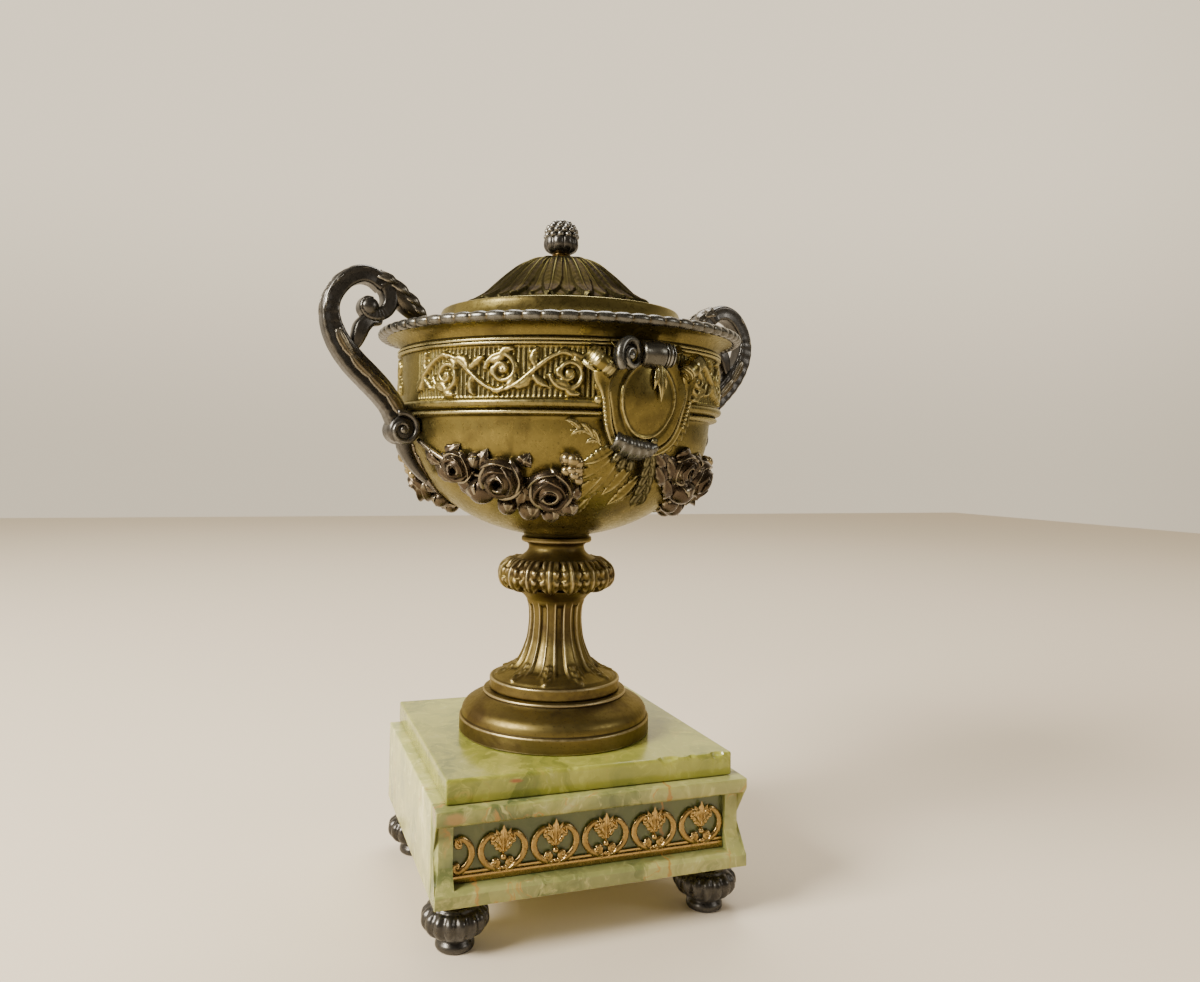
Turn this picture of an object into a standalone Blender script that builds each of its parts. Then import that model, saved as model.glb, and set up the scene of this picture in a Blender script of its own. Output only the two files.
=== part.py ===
"""Mantel urn: a lidded two-handled urn on a fluted stem, standing on a footed onyx plinth.

Metres, +Z up. The plinth's front faces -Y and the origin lies on the ground under the urn's axis.
"""

from math import cos, pi, radians, sin, sqrt

import bmesh
import bpy
from mathutils import Vector

GAP = 0.0003  # clearance between pieces that touch

# Plinth
PLINTH_WIDTH = 0.160
PLINTH_DEPTH = 0.1475
PLINTH_HEIGHT = 0.044
FOOT_HEIGHT = 0.026
FRONT_THICKNESS = 0.0115
FRONT_RECESS = 0.006
FRONT_END_INSET = 0.0024
CORNICE_HEIGHT = 0.0085
CORNICE_ROUND = 0.0028
BASE_BAND = 0.0057
BASE_FLARE = 0.0110
WINDOW_STILE = 0.0094
WINDOW_DEPTH = 0.0036
WINDOW_SILL = 0.0075
WINDOW_HEAD = 0.0006
TOP_SLAB_HEIGHT = 0.012
TOP_SLAB_SIDE_INSET = 0.0057
TOP_SLAB_FRONT_INSET = 0.0063
TOP_SLAB_CHAMFER = 0.0009

# Bun feet
FOOT_INSET_X = 0.014
FOOT_INSET_Y = 0.019
FOOT_BUN_RADIUS = 0.0164
FOOT_LOBES = 16
FOOT_LOBE_DEPTH = 0.0011
FOOT_RING_RADIUS = 0.0092
FOOT_STUB_RADIUS = 0.0062
FOOT_STUB_HEIGHT = 0.0048

# Gilt frieze of arches in the plinth's window
ARCH_PITCH = 0.026
ARCH_WIDTH = 0.0246
ARCH_HEIGHT = 0.0208
ARCH_BAR = 0.0027
WHOLE_ARCHES = 5
FRIEZE_THICKNESS = 0.0016
STRIP_HEIGHT = 0.0034
FRIEZE_STANDOFF = 0.0003

# Urn
URN_TURN = radians(9.0)
COLUMNS = 36
FOOT_DISC_RADIUS = 0.0526
FOOT_DISC_HEIGHT = 0.0225
PLATE_RADIUS = 0.0362
STEM_RADIUS = 0.0144
STEM_HEIGHT = 0.0548
FLUTES = 10
FLUTE_DEPTH = 0.0015
COLLAR_RADIUS = 0.0318
COLLAR_HEIGHT = 0.0287
COLLAR_LEAVES = 12
COLLAR_LEAF_RELIEF = 0.0010
NECK_DISC_RADIUS = 0.0194
BOWL_RADIUS = 0.0840
BOWL_DEPTH = 0.0620
BOWL_WALL = 0.0030
FRIEZE_RADIUS = 0.0885
FRIEZE_HEIGHT = 0.0248
LOWER_FILLETS = 0.0100
UPPER_FILLETS = 0.0044
NECK_HEIGHT = 0.0054
MOULDING_PROUD = 0.0020
RIM_RADIUS = 0.1014
RIM_HEIGHT = 0.0054
RIM_LOBES = 72
RIM_LOBE_DEPTH = 0.0012
LEDGE_THICKNESS = 0.0028
LEDGE_DROP = 0.0005
MOUTH_RADIUS = 0.0680

# Lid and finial
LID_PLAY = 0.0014
LID_WALL = 0.0022
LID_SPIGOT_DEPTH = 0.0026
LID_RADIUS = 0.0730
LID_FLANGE_HEIGHT = 0.0124
LID_STEP = 0.0026
LID_DOME_RADIUS = 0.0518
LID_DOME_HEIGHT = 0.0320
LID_LEAVES = 16
LID_LEAF_RELIEF = 0.0011
LID_TOP_RADIUS = 0.0070
FINIAL_NECK_RADIUS = 0.0047
FINIAL_NECK_HEIGHT = 0.0026
FINIAL_RADIUS = 0.0104
FINIAL_HEIGHT = 0.0202
FINIAL_RIBS = 8

# Handles, cartouches and garlands
HANDLE_REACH = 0.1322
HANDLE_RISE = 0.0246
HANDLE_BAR = 0.0076
HANDLE_BREADTH = 0.0100
RIM_LEAF_LENGTH = 0.0214
LOWER_VOLUTE_RADIUS = 0.0078
LOWER_VOLUTE_BREADTH = 0.0150
MEDALLION_HALF_WIDTH = 0.0150
MEDALLION_HALF_HEIGHT = 0.0178
MEDALLION_SUNK = 0.0012
SHIELD_HALF_WIDTH = 0.0235
SHIELD_HALF_HEIGHT = 0.0270
SHIELD_RELIEF = 0.0062
WING_SPAN = 0.0390
ROLL_RADIUS = 0.0068
ROSE_RADIUS = 0.0106
ROSE_RELIEF = 0.0125
SWAG_START = 6.0
SWAG_END = 82.0

# Stops of a flower as (share of its radius, share of its relief), from the bowl outwards
ROSE = ((0.9, 0.0), (1.0, 0.62), (0.74, 1.0), (0.22, 0.62))
BUD = ((0.9, 0.0), (1.0, 0.55), (0.35, 1.0))

# Flowers of a garland as (degrees from the handle, radii below the swag's middle, radius, relief, stops)
FLOWERS = (
    (24.5, -0.98, ROSE_RADIUS * 0.82, ROSE_RELIEF * 0.85, ROSE),
    (41.5, -0.80, ROSE_RADIUS, ROSE_RELIEF, ROSE),
    (59.5, 0.03, ROSE_RADIUS * 0.97, ROSE_RELIEF, ROSE),
    (29.5, 0.00, ROSE_RADIUS * 0.49, ROSE_RELIEF * 0.56, BUD),
    (48.5, 0.45, ROSE_RADIUS * 0.49, ROSE_RELIEF * 0.50, BUD),
    (68.0, -0.17, ROSE_RADIUS * 0.53, ROSE_RELIEF * 0.60, BUD),
)

# Levels, from the ground up
PLINTH_BOTTOM = FOOT_HEIGHT
PLINTH_TOP = PLINTH_BOTTOM + PLINTH_HEIGHT
SLAB_TOP = PLINTH_TOP + TOP_SLAB_HEIGHT
STEM_BOTTOM = SLAB_TOP + FOOT_DISC_HEIGHT
COLLAR_BOTTOM = STEM_BOTTOM + STEM_HEIGHT
BOWL_BOTTOM = COLLAR_BOTTOM + COLLAR_HEIGHT
BOWL_WAIST = BOWL_BOTTOM + BOWL_DEPTH
FRIEZE_BOTTOM = BOWL_WAIST + LOWER_FILLETS
FRIEZE_TOP = FRIEZE_BOTTOM + FRIEZE_HEIGHT
NECK_BOTTOM = FRIEZE_TOP + UPPER_FILLETS
RIM_BOTTOM = NECK_BOTTOM + NECK_HEIGHT
RIM_TOP = RIM_BOTTOM + RIM_HEIGHT
LID_TOP = RIM_TOP + LID_FLANGE_HEIGHT + LID_DOME_HEIGHT
FINIAL_BOTTOM = LID_TOP + GAP + FINIAL_NECK_HEIGHT

MATERIALS = {
    "onyx": ((0.50, 0.52, 0.25), 0.22, 0.0),
    "urn_bronze": ((0.24, 0.16, 0.055), 0.38, 0.9),
    "dark_bronze": ((0.075, 0.060, 0.045), 0.40, 0.85),
    "gilt_brass": ((0.62, 0.38, 0.13), 0.35, 0.95),
}


def material(name):
    """Returns the named Principled material, made once."""
    if name in bpy.data.materials:
        return bpy.data.materials[name]
    colour, roughness, metallic = MATERIALS[name]
    made = bpy.data.materials.new(name)
    made.use_nodes = True
    shader = made.node_tree.nodes["Principled BSDF"]
    shader.inputs["Base Color"].default_value = (*colour, 1.0)
    shader.inputs["Roughness"].default_value = roughness
    shader.inputs["Metallic"].default_value = metallic
    return made


def add_object(name, bm, material_name, parent=None):
    """Turns a bmesh into a named object with outward faces."""
    bmesh.ops.recalc_face_normals(bm, faces=bm.faces)
    mesh = bpy.data.meshes.new(name)
    bm.to_mesh(mesh)
    bm.free()
    obj = bpy.data.objects.new(name, mesh)
    obj.data.materials.append(material(material_name))
    obj.parent = parent
    bpy.context.scene.collection.objects.link(obj)
    return obj


def ring(radius, z, count, shape=None):
    """Points of one round of a turned form; shape(angle) adds to the radius."""
    points = []
    for i in range(count):
        angle = 2 * pi * i / count
        r = radius + (shape(angle) if shape else 0.0)
        points.append(Vector((r * cos(angle), r * sin(angle), z)))
    return points


def lobes(count, depth, turn=0.0):
    """Radius change of a lobed round: 0 on the crowns and -depth in the grooves."""
    return lambda angle: -depth * (0.5 - 0.5 * cos(count * (angle - turn)))


def bridge(bm, low, high):
    """Joins two closed rounds, whose counts are equal or a whole multiple of each other."""
    if len(low) > len(high):
        low, high = high, low
    step = len(high) // len(low)
    middle = (step + 1) // 2
    for i in range(len(low)):
        a, b = low[i], low[(i + 1) % len(low)]
        fine = [high[(i * step + j) % len(high)] for j in range(step + 1)]
        if step == 1:
            bm.faces.new((a, b, fine[1], fine[0]))
            continue
        for j in range(step):
            bm.faces.new((a if j < middle else b, fine[j + 1], fine[j]))
        bm.faces.new((a, b, fine[middle]))


def turned(rounds):
    """Closed bmesh through rounds of points, with a flat face at each end."""
    bm = bmesh.new()
    loops = [[bm.verts.new(p) for p in points] for points in rounds]
    for low, high in zip(loops, loops[1:]):
        bridge(bm, low, high)
    bm.faces.new(loops[0])
    bm.faces.new(loops[-1])
    return bm


def prism(outline, direction):
    """Closed bmesh of a flat outline pushed along a direction."""
    bm = bmesh.new()
    near = [bm.verts.new(p) for p in outline]
    far = [bm.verts.new(Vector(p) + Vector(direction)) for p in outline]
    bm.faces.new(near)
    bm.faces.new(list(reversed(far)))
    for i in range(len(near)):
        j = (i + 1) % len(near)
        bm.faces.new((near[i], near[j], far[j], far[i]))
    return bm


def box(low, high):
    """Closed bmesh of a box between two corners."""
    (x0, y0, z0), (x1, y1, z1) = low, high
    return prism([(x0, y0, z0), (x1, y0, z0), (x1, y1, z0), (x0, y1, z0)], (0, 0, z1 - z0))


def cutter(name, bm, parent=None):
    """Adds a hidden object that only serves a Boolean."""
    obj = add_object(name, bm, "urn_bronze", parent)
    obj.hide_render = True
    obj.display_type = "WIRE"
    return obj


def combine(target, tools, operation):
    """Applies a row of Booleans to the target and removes their tools."""
    for tool in tools:
        modifier = target.modifiers.new(tool.name, "BOOLEAN")
        modifier.operation = operation
        modifier.solver = "EXACT"
        modifier.use_self = True
        modifier.object = tool
    bpy.context.view_layer.update()
    evaluated = target.evaluated_get(bpy.context.evaluated_depsgraph_get())
    mesh = bpy.data.meshes.new_from_object(evaluated)
    target.modifiers.clear()
    mesh.name = target.name
    target.data = mesh
    for tool in tools:
        bpy.data.objects.remove(tool)
    return target


def sweep(path, halves, sides=5):
    """Closed bar along points in the XZ plane; halves gives (in-plane, across) half sizes per point."""
    rounds = []
    for i, point in enumerate(path):
        before, after = path[max(i - 1, 0)], path[min(i + 1, len(path) - 1)]
        along = (after - before).normalized()
        normal = Vector((along.z, 0.0, -along.x))
        thick, broad = halves[i]
        section = []
        for j in range(sides):
            angle = 2 * pi * (j + 0.5) / sides
            section.append(point + normal * thick * cos(angle) + Vector((0, broad * sin(angle), 0)))
        rounds.append(section)
    return turned(rounds)


def smooth_path(points, steps):
    """Catmull-Rom curve through (x, z) points, as vectors in the XZ plane."""
    p = [Vector((x, 0.0, z)) for x, z in points]
    p = [2 * p[0] - p[1], *p, 2 * p[-1] - p[-2]]
    curve = []
    for i in range(1, len(p) - 2):
        for k in range(steps):
            t = k / steps
            a, b, c, d = p[i - 1], p[i], p[i + 1], p[i + 2]
            bend = (2 * a - 5 * b + 4 * c - d) * t * t + (3 * b - a - 3 * c + d) * t**3
            curve.append(0.5 * (2 * b + (c - a) * t + bend))
    curve.append(p[-2])
    return curve


def blend_sizes(stops, count):
    """Half sizes for count stations, read between evenly spaced stops."""
    sizes = []
    for i in range(count):
        place = i / (count - 1) * (len(stops) - 1)
        k = min(int(place), len(stops) - 2)
        t = place - k
        sizes.append(tuple(a + (b - a) * t for a, b in zip(stops[k], stops[k + 1])))
    return sizes


# Plinth


def foot_place(side, end):
    """Centre of a foot; side is -1 left or 1 right, end is -1 front or 1 back."""
    x = side * (PLINTH_WIDTH / 2 - FOOT_INSET_X)
    y = end * (PLINTH_DEPTH / 2 - FOOT_INSET_Y)
    return Vector((x, y, 0.0))


def add_feet():
    """Four gadrooned bun feet, each with a brass stub between it and the plinth."""
    bun = FOOT_HEIGHT - FOOT_STUB_HEIGHT
    half = FOOT_LOBES
    full = 2 * FOOT_LOBES
    lobe = lobes(FOOT_LOBES, FOOT_LOBE_DEPTH)
    for end, end_name in ((-1, "front"), (1, "back")):
        for side, side_name in ((-1, "left"), (1, "right")):
            place = foot_place(side, end)
            rounds = [
                ring(FOOT_RING_RADIUS * 0.96, 0.0, half),
                ring(FOOT_RING_RADIUS, bun * 0.16, half),
                ring(FOOT_RING_RADIUS * 0.84, bun * 0.27, half),
                ring(FOOT_BUN_RADIUS * 0.80, bun * 0.42, full, lobe),
                ring(FOOT_BUN_RADIUS, bun * 0.68, full, lobe),
                ring(FOOT_BUN_RADIUS * 0.82, bun * 0.93, half),
                ring(FOOT_BUN_RADIUS * 0.62, bun, half),
            ]
            foot = add_object(f"foot_{end_name}_{side_name}", turned(rounds), "dark_bronze")
            foot.location = place
            stub_rounds = [
                ring(FOOT_STUB_RADIUS, bun + GAP, 12),
                ring(FOOT_STUB_RADIUS, FOOT_HEIGHT - GAP, 12),
            ]
            stub = add_object(f"foot_stub_{end_name}_{side_name}", turned(stub_rounds), "gilt_brass")
            stub.location = place


def front_profile():
    """Section of the front slab as (distance behind the front plane, height)."""
    top = PLINTH_TOP
    bottom = PLINTH_BOTTOM
    cornice = top - CORNICE_HEIGHT
    flare_top = bottom + BASE_BAND + BASE_FLARE
    return [
        (0.0, bottom),
        (0.0, bottom + BASE_BAND),
        (FRONT_RECESS * 0.45, bottom + BASE_BAND + BASE_FLARE * 0.30),
        (FRONT_RECESS * 0.85, bottom + BASE_BAND + BASE_FLARE * 0.60),
        (FRONT_RECESS, flare_top),
        (FRONT_RECESS, cornice),
        (CORNICE_ROUND, cornice + CORNICE_ROUND * 0.15),
        (CORNICE_ROUND * 0.25, cornice + CORNICE_ROUND * 0.5),
        (0.0, cornice + CORNICE_ROUND),
        (0.0, top),
    ]


def add_front_slab():
    """Moulded front slab, whose profile turns a little into its ends, with a sunk window."""
    front = -PLINTH_DEPTH / 2
    back = front + FRONT_THICKNESS
    bm = bmesh.new()
    rows = []
    for depth, z in front_profile():
        inset = FRONT_END_INSET * depth / FRONT_RECESS
        half = PLINTH_WIDTH / 2 - inset
        corners = [(-half, back), (-half, front + depth), (half, front + depth), (half, back)]
        rows.append([bm.verts.new((x, y, z)) for x, y in corners])
    for low, high in zip(rows, rows[1:]):
        bridge(bm, low, high)
    bm.faces.new(rows[0])
    bm.faces.new(rows[-1])
    slab = add_object("plinth_front", bm, "onyx")
    half = PLINTH_WIDTH / 2 - WINDOW_STILE
    depth = FRONT_RECESS + WINDOW_DEPTH
    low = (-half, front - depth, PLINTH_BOTTOM + WINDOW_SILL)
    high = (half, front + depth, PLINTH_TOP - CORNICE_HEIGHT - WINDOW_HEAD)
    window = cutter("window_cut", box(low, high))
    return combine(slab, [window], "DIFFERENCE")


def add_plinth():
    """Block behind the front slab, the front slab and the top slab."""
    half = PLINTH_WIDTH / 2
    front = -PLINTH_DEPTH / 2 + FRONT_THICKNESS + GAP
    low = (-half, front, PLINTH_BOTTOM)
    add_object("plinth_block", box(low, (half, PLINTH_DEPTH / 2, PLINTH_TOP)), "onyx")
    add_front_slab()
    c = TOP_SLAB_CHAMFER
    x = half - TOP_SLAB_SIDE_INSET
    y0 = -PLINTH_DEPTH / 2 + TOP_SLAB_FRONT_INSET
    y1 = PLINTH_DEPTH / 2
    rounds = []
    for inset, z in ((0.0, PLINTH_TOP + GAP), (0.0, SLAB_TOP - c), (c, SLAB_TOP)):
        xs, ya, yb = x - inset, y0 + inset, y1 - inset
        rounds.append([Vector(p) for p in ((-xs, ya, z), (xs, ya, z), (xs, yb, z), (-xs, yb, z))])
    add_object("plinth_top_slab", turned(rounds), "onyx")


def scroll_outline(centre_x, bottom, side):
    """Outline of one C-scroll of an arch; side is -1 left or 1 right."""
    half_width = ARCH_WIDTH / 2
    half_height = ARCH_HEIGHT / 2
    outer, inner = [], []
    count = 3
    for i in range(count + 1):
        angle = radians(-84 + 152 * i / count)
        bar = ARCH_BAR * (0.7 + 0.5 * i / count)
        x, z = cos(angle), sin(angle)
        middle = bottom + half_height
        outer.append((centre_x + side * half_width * x, middle + half_height * z))
        shrunk = (half_width - bar) * x, (half_height - bar) * z
        inner.append((centre_x + side * shrunk[0], middle + shrunk[1]))
    return outer + inner[::-1]


def fleur_outline(centre_x, bottom):
    """Outline of the leaf that rises in an arch and stands past its top."""
    tall = ARCH_HEIGHT * 1.16
    wide = ARCH_WIDTH * 0.20
    shape = [(0.30, 0.0), (1.0, 0.62), (0.0, 1.0)]
    right = [(centre_x + wide * x, bottom + tall * z) for x, z in shape]
    left = [(2 * centre_x - x, z) for x, z in right[:-1]]
    return right + left[::-1]


def add_gilt_frieze():
    """Openwork band of arches on a flat strip; the left arch is cut in half by the window's end."""
    face = -PLINTH_DEPTH / 2 + FRONT_RECESS + WINDOW_DEPTH - FRIEZE_STANDOFF
    half = PLINTH_WIDTH / 2 - WINDOW_STILE - GAP
    sill = PLINTH_BOTTOM + WINDOW_SILL + GAP
    strip_low = (-half, face - FRIEZE_THICKNESS, sill)
    frieze = add_object("gilt_frieze", box(strip_low, (half, face, sill + STRIP_HEIGHT)), "gilt_brass")
    foot = sill + STRIP_HEIGHT * 0.7
    tools = []
    for i in range(WHOLE_ARCHES + 1):
        x = half - ARCH_WIDTH / 2 - i * ARCH_PITCH
        sides = (-1, 1) if i < WHOLE_ARCHES else (1,)
        for side in sides:
            flat = scroll_outline(x, foot, side)
            start = face - FRIEZE_THICKNESS * 0.9
            points = [(px, start, pz) for px, pz in flat]
            tools.append(cutter(f"scroll_{i}_{side}", prism(points, (0, FRIEZE_THICKNESS * 0.88, 0))))
        if i == WHOLE_ARCHES:
            continue
        points = [(px, face - FRIEZE_THICKNESS * 0.95, pz) for px, pz in fleur_outline(x, foot)]
        tools.append(cutter(f"fleur_{i}", prism(points, (0, FRIEZE_THICKNESS * 0.92, 0))))
    combine(frieze, tools, "UNION")
    beyond = box((-half - ARCH_WIDTH, face - 0.01, sill - 0.01), (-half, face + 0.01, PLINTH_TOP))
    return combine(frieze, [cutter("window_end", beyond)], "DIFFERENCE")


# Urn


def add_foot_disc(urn):
    """Round foot: upright band, swelling ovolo, hollow and a narrow bead."""
    z = SLAB_TOP + GAP
    tall = FOOT_DISC_HEIGHT - GAP
    r = FOOT_DISC_RADIUS
    shoulder = PLATE_RADIUS + 0.0028
    rounds = [
        ring(r, z, COLUMNS),
        ring(r, z + tall * 0.345, COLUMNS),
        ring(r - 0.0024, z + tall * 0.56, COLUMNS),
        ring(shoulder + (r - shoulder) * 0.42, z + tall * 0.76, COLUMNS),
        ring(shoulder, z + tall * 0.88, COLUMNS),
        ring(shoulder - 0.0022, z + tall, COLUMNS),
    ]
    add_object("foot_disc", turned(rounds), "urn_bronze", urn)


def flute_shape(depth):
    """Narrow sunk channels between broad ribs, four points to a flute."""

    def shape(angle):
        place = (angle * FLUTES / (2 * pi)) % 1.0
        return -depth if min(place, 1 - place) < 0.1 else 0.0

    return shape


def add_stem(urn):
    """Plate and trumpet stem with sunk flutes."""
    z = STEM_BOTTOM + GAP
    tall = STEM_HEIGHT - GAP
    r, plate = STEM_RADIUS, PLATE_RADIUS
    flare = plate - r
    columns = 4 * FLUTES
    profile = [
        (plate, 0.0, 0.0),
        (plate, 0.105, 0.0),
        (r + flare * 0.80, 0.145, 0.0),
        (r + flare * 0.48, 0.200, 0.7),
        (r + flare * 0.20, 0.310, 1.0),
        (r, 0.600, 1.0),
        (r + 0.0009, 0.835, 0.8),
    ]
    rounds = []
    for radius, height, share in profile:
        rounds.append(ring(radius, z + tall * height, columns, flute_shape(FLUTE_DEPTH * share)))
    rounds.append(ring(r + 0.0030, z + tall * 0.915, columns // 2))
    rounds.append(ring(r + 0.0086, z + tall, columns // 2))
    add_object("fluted_stem", turned(rounds), "urn_bronze", urn)


def add_collar(urn):
    """Swelling collar of leaves with the plain neck and disc above it."""
    z = COLLAR_BOTTOM + GAP
    tall = COLLAR_HEIGHT - 2 * GAP
    r = COLLAR_RADIUS
    columns = 2 * COLLAR_LEAVES
    leaf = lobes(COLLAR_LEAVES, 2 * COLLAR_LEAF_RELIEF)
    profile = [
        (r * 0.74, 0.0, None),
        (r * 0.87, 0.035, leaf),
        (r * 0.99, 0.140, leaf),
        (r, 0.270, leaf),
        (r * 0.93, 0.430, leaf),
        (r * 0.77, 0.535, None),
        (r * 0.54, 0.665, None),
        (r * 0.48, 0.850, None),
        (NECK_DISC_RADIUS, 0.915, None),
        (NECK_DISC_RADIUS, 1.0, None),
    ]
    rounds = [ring(radius, z + tall * h, columns, shape) for radius, h, shape in profile]
    add_object("leaf_collar", turned(rounds), "urn_bronze", urn)


def bowl_outside(clearance=0.0):
    """Outer profile of the bowl, from its underside to the rim, as (radius, height)."""
    c = clearance
    proud = FRIEZE_RADIUS + MOULDING_PROUD
    points = [(NECK_DISC_RADIUS, BOWL_BOTTOM - c)]
    for degrees in (16, 33, 50, 67, 84):
        t = radians(degrees)
        points.append(((BOWL_RADIUS + c) * sin(t), BOWL_WAIST - (BOWL_DEPTH + c) * cos(t)))
    points += [
        (BOWL_RADIUS + 0.0004 + c, BOWL_WAIST + LOWER_FILLETS * 0.10),
        (proud + c, BOWL_WAIST + LOWER_FILLETS * 0.58 - c),
        (proud + c, FRIEZE_BOTTOM - 0.0006 + c),
        (FRIEZE_RADIUS + c, FRIEZE_BOTTOM + c),
        (FRIEZE_RADIUS + c, FRIEZE_TOP - c),
        (proud - 0.0002 + c, FRIEZE_TOP + 0.0006 - c),
        (proud - 0.0002 + c, NECK_BOTTOM - 0.0008 + c),
        (FRIEZE_RADIUS + c, NECK_BOTTOM + c),
        (RIM_RADIUS - 0.0088 + c, RIM_BOTTOM - 0.0006 - c),
        (RIM_RADIUS - 0.0040 + c, RIM_BOTTOM - c),
    ]
    return points


def add_bowl(urn):
    """Hollow bowl: cup, fillets, frieze band, hollow neck, rope rim and the ledge round the mouth."""
    rounds = [ring(r, z, COLUMNS) for r, z in bowl_outside()]
    lobe = lobes(RIM_LOBES, RIM_LOBE_DEPTH)
    ledge = RIM_TOP - LEDGE_DROP
    rounds += [
        ring(RIM_RADIUS, RIM_BOTTOM + RIM_HEIGHT / 2, 4 * COLUMNS, lobe),
        ring(RIM_RADIUS - 0.0038, RIM_TOP, COLUMNS),
        ring(RIM_RADIUS - 0.0056, ledge, COLUMNS),
        ring(MOUTH_RADIUS, ledge, COLUMNS),
        ring(MOUTH_RADIUS, ledge - LEDGE_THICKNESS, COLUMNS),
        ring(FRIEZE_RADIUS - BOWL_WALL, ledge - LEDGE_THICKNESS, COLUMNS // 2),
        ring(FRIEZE_RADIUS - BOWL_WALL, FRIEZE_BOTTOM, COLUMNS // 2),
    ]
    for degrees in (80, 56, 34, 13):
        t = radians(degrees)
        r = (BOWL_RADIUS - BOWL_WALL) * sin(t)
        rounds.append(ring(r, BOWL_WAIST - (BOWL_DEPTH - BOWL_WALL) * cos(t), COLUMNS // 2))
    add_object("bowl", turned(rounds), "urn_bronze", urn)


def bowl_envelope(urn, name):
    """Cutter of the bowl's outside plus the clearance that applied pieces keep."""
    profile = bowl_outside(GAP)
    profile += [
        (RIM_RADIUS + GAP, RIM_BOTTOM + RIM_HEIGHT * 0.3),
        (RIM_RADIUS + GAP, RIM_BOTTOM + RIM_HEIGHT * 0.7),
        (RIM_RADIUS - 0.0038 + GAP, RIM_TOP + GAP),
    ]
    return cutter(name, turned([ring(r, z, COLUMNS) for r, z in profile]), urn)


def add_lid(urn):
    """Lift-off lid: spigot, coved flange and a dome of long and short leaves, hollow below."""
    seat = RIM_TOP - LEDGE_DROP + GAP
    shelf = RIM_TOP + LID_FLANGE_HEIGHT
    spigot = MOUTH_RADIUS - LID_PLAY
    inside = spigot - LID_WALL
    base = LID_DOME_RADIUS
    rise = LID_TOP - shelf - LID_STEP
    leaf = lobes(2 * LID_LEAVES, LID_LEAF_RELIEF)
    plain = 2 * LID_LEAVES
    fine = 4 * LID_LEAVES
    dome = [(0.97, 0.09), (0.70, 0.49), (0.32, 0.93)]
    rounds = [
        ring(inside, seat - LID_SPIGOT_DEPTH, plain),
        ring(spigot, seat - LID_SPIGOT_DEPTH, plain),
        ring(spigot, seat, plain),
        ring(LID_RADIUS, seat, plain),
        ring(LID_RADIUS - 0.0002, seat + LID_FLANGE_HEIGHT * 0.13, plain),
        ring(LID_RADIUS - 0.0046, seat + LID_FLANGE_HEIGHT * 0.60, plain),
        ring(LID_RADIUS - 0.0070, shelf, plain),
        ring(base + 0.0004, shelf + LID_STEP, plain),
    ]
    for r, h in dome:
        rounds.append(ring(base * r + LID_LEAF_RELIEF, shelf + LID_STEP + rise * h, fine, leaf))
    rounds.append(ring(LID_TOP_RADIUS, LID_TOP, LID_LEAVES))
    wall = LID_WALL
    under = [(0.32, 0.93), (0.59, 0.64), (0.92, 0.10)]
    inner = []
    for r, h in under:
        inner.append(ring(base * r - wall * 0.6, shelf + LID_STEP + rise * h - wall, LID_LEAVES))
    inner.append(ring(inside, shelf - wall, LID_LEAVES))
    bm = bmesh.new()
    outer_loops = [[bm.verts.new(p) for p in points] for points in rounds]
    for low, high in zip(outer_loops, outer_loops[1:]):
        bridge(bm, low, high)
    bm.faces.new(outer_loops[-1])
    inner_loops = [[bm.verts.new(p) for p in points] for points in inner]
    for low, high in zip(inner_loops, inner_loops[1:]):
        bridge(bm, low, high)
    bm.faces.new(inner_loops[0])
    bridge(bm, inner_loops[-1], outer_loops[0])
    add_object("lid", bm, "urn_bronze", urn)


def add_finial(urn):
    """Brass neck and a ribbed cup holding a cluster of berries."""
    neck = [
        ring(FINIAL_NECK_RADIUS, LID_TOP + GAP, 12),
        ring(FINIAL_NECK_RADIUS, LID_TOP + FINIAL_NECK_HEIGHT, 12),
    ]
    add_object("finial_neck", turned(neck), "gilt_brass", urn)
    z, tall, r = FINIAL_BOTTOM, FINIAL_HEIGHT, FINIAL_RADIUS
    ribs = lobes(FINIAL_RIBS, 0.0008)
    even = lobes(FINIAL_RIBS, 0.0010)
    odd = lobes(FINIAL_RIBS, 0.0010, pi / FINIAL_RIBS)
    profile = [
        (0.44, 0.0, None),
        (0.82, 0.07, ribs),
        (1.0, 0.24, ribs),
        (0.97, 0.42, ribs),
        (0.88, 0.56, even),
        (0.80, 0.70, odd),
        (0.62, 0.84, even),
        (0.34, 0.95, odd),
        (0.12, 1.0, None),
    ]
    rounds = [ring(r * k, z + tall * h, 2 * FINIAL_RIBS, shape) for k, h, shape in profile]
    add_object("finial", turned(rounds), "dark_bronze", urn)


# Handles


def handle_point(out, up):
    """Point of a handle; out runs from the frieze (0) to the handle's reach (1), up from waist to top."""
    reach = FRIEZE_RADIUS + (HANDLE_REACH - FRIEZE_RADIUS) * out
    return reach, BOWL_WAIST + (RIM_TOP + HANDLE_RISE - BOWL_WAIST) * up


def strap_shape():
    """Path and half sizes of the handle's main bar, with X outward from the urn's axis."""
    bar, broad = HANDLE_BAR / 2, HANDLE_BREADTH / 2
    points = [
        handle_point(0.371, 0.940),
        handle_point(0.622, 1.000),
        handle_point(0.897, 0.886),
        handle_point(1.000, 0.718),
        handle_point(0.908, 0.511),
        handle_point(0.622, 0.316),
        handle_point(0.291, 0.129),
        handle_point(0.119, -0.013),
    ]
    stops = [
        (bar, broad),
        (bar * 1.15, broad),
        (bar, broad),
        (bar * 1.15, broad * 1.1),
        (bar * 1.2, broad * 1.25),
    ]
    path = smooth_path(points, 2)
    return path, blend_sizes(stops, len(path))


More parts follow.
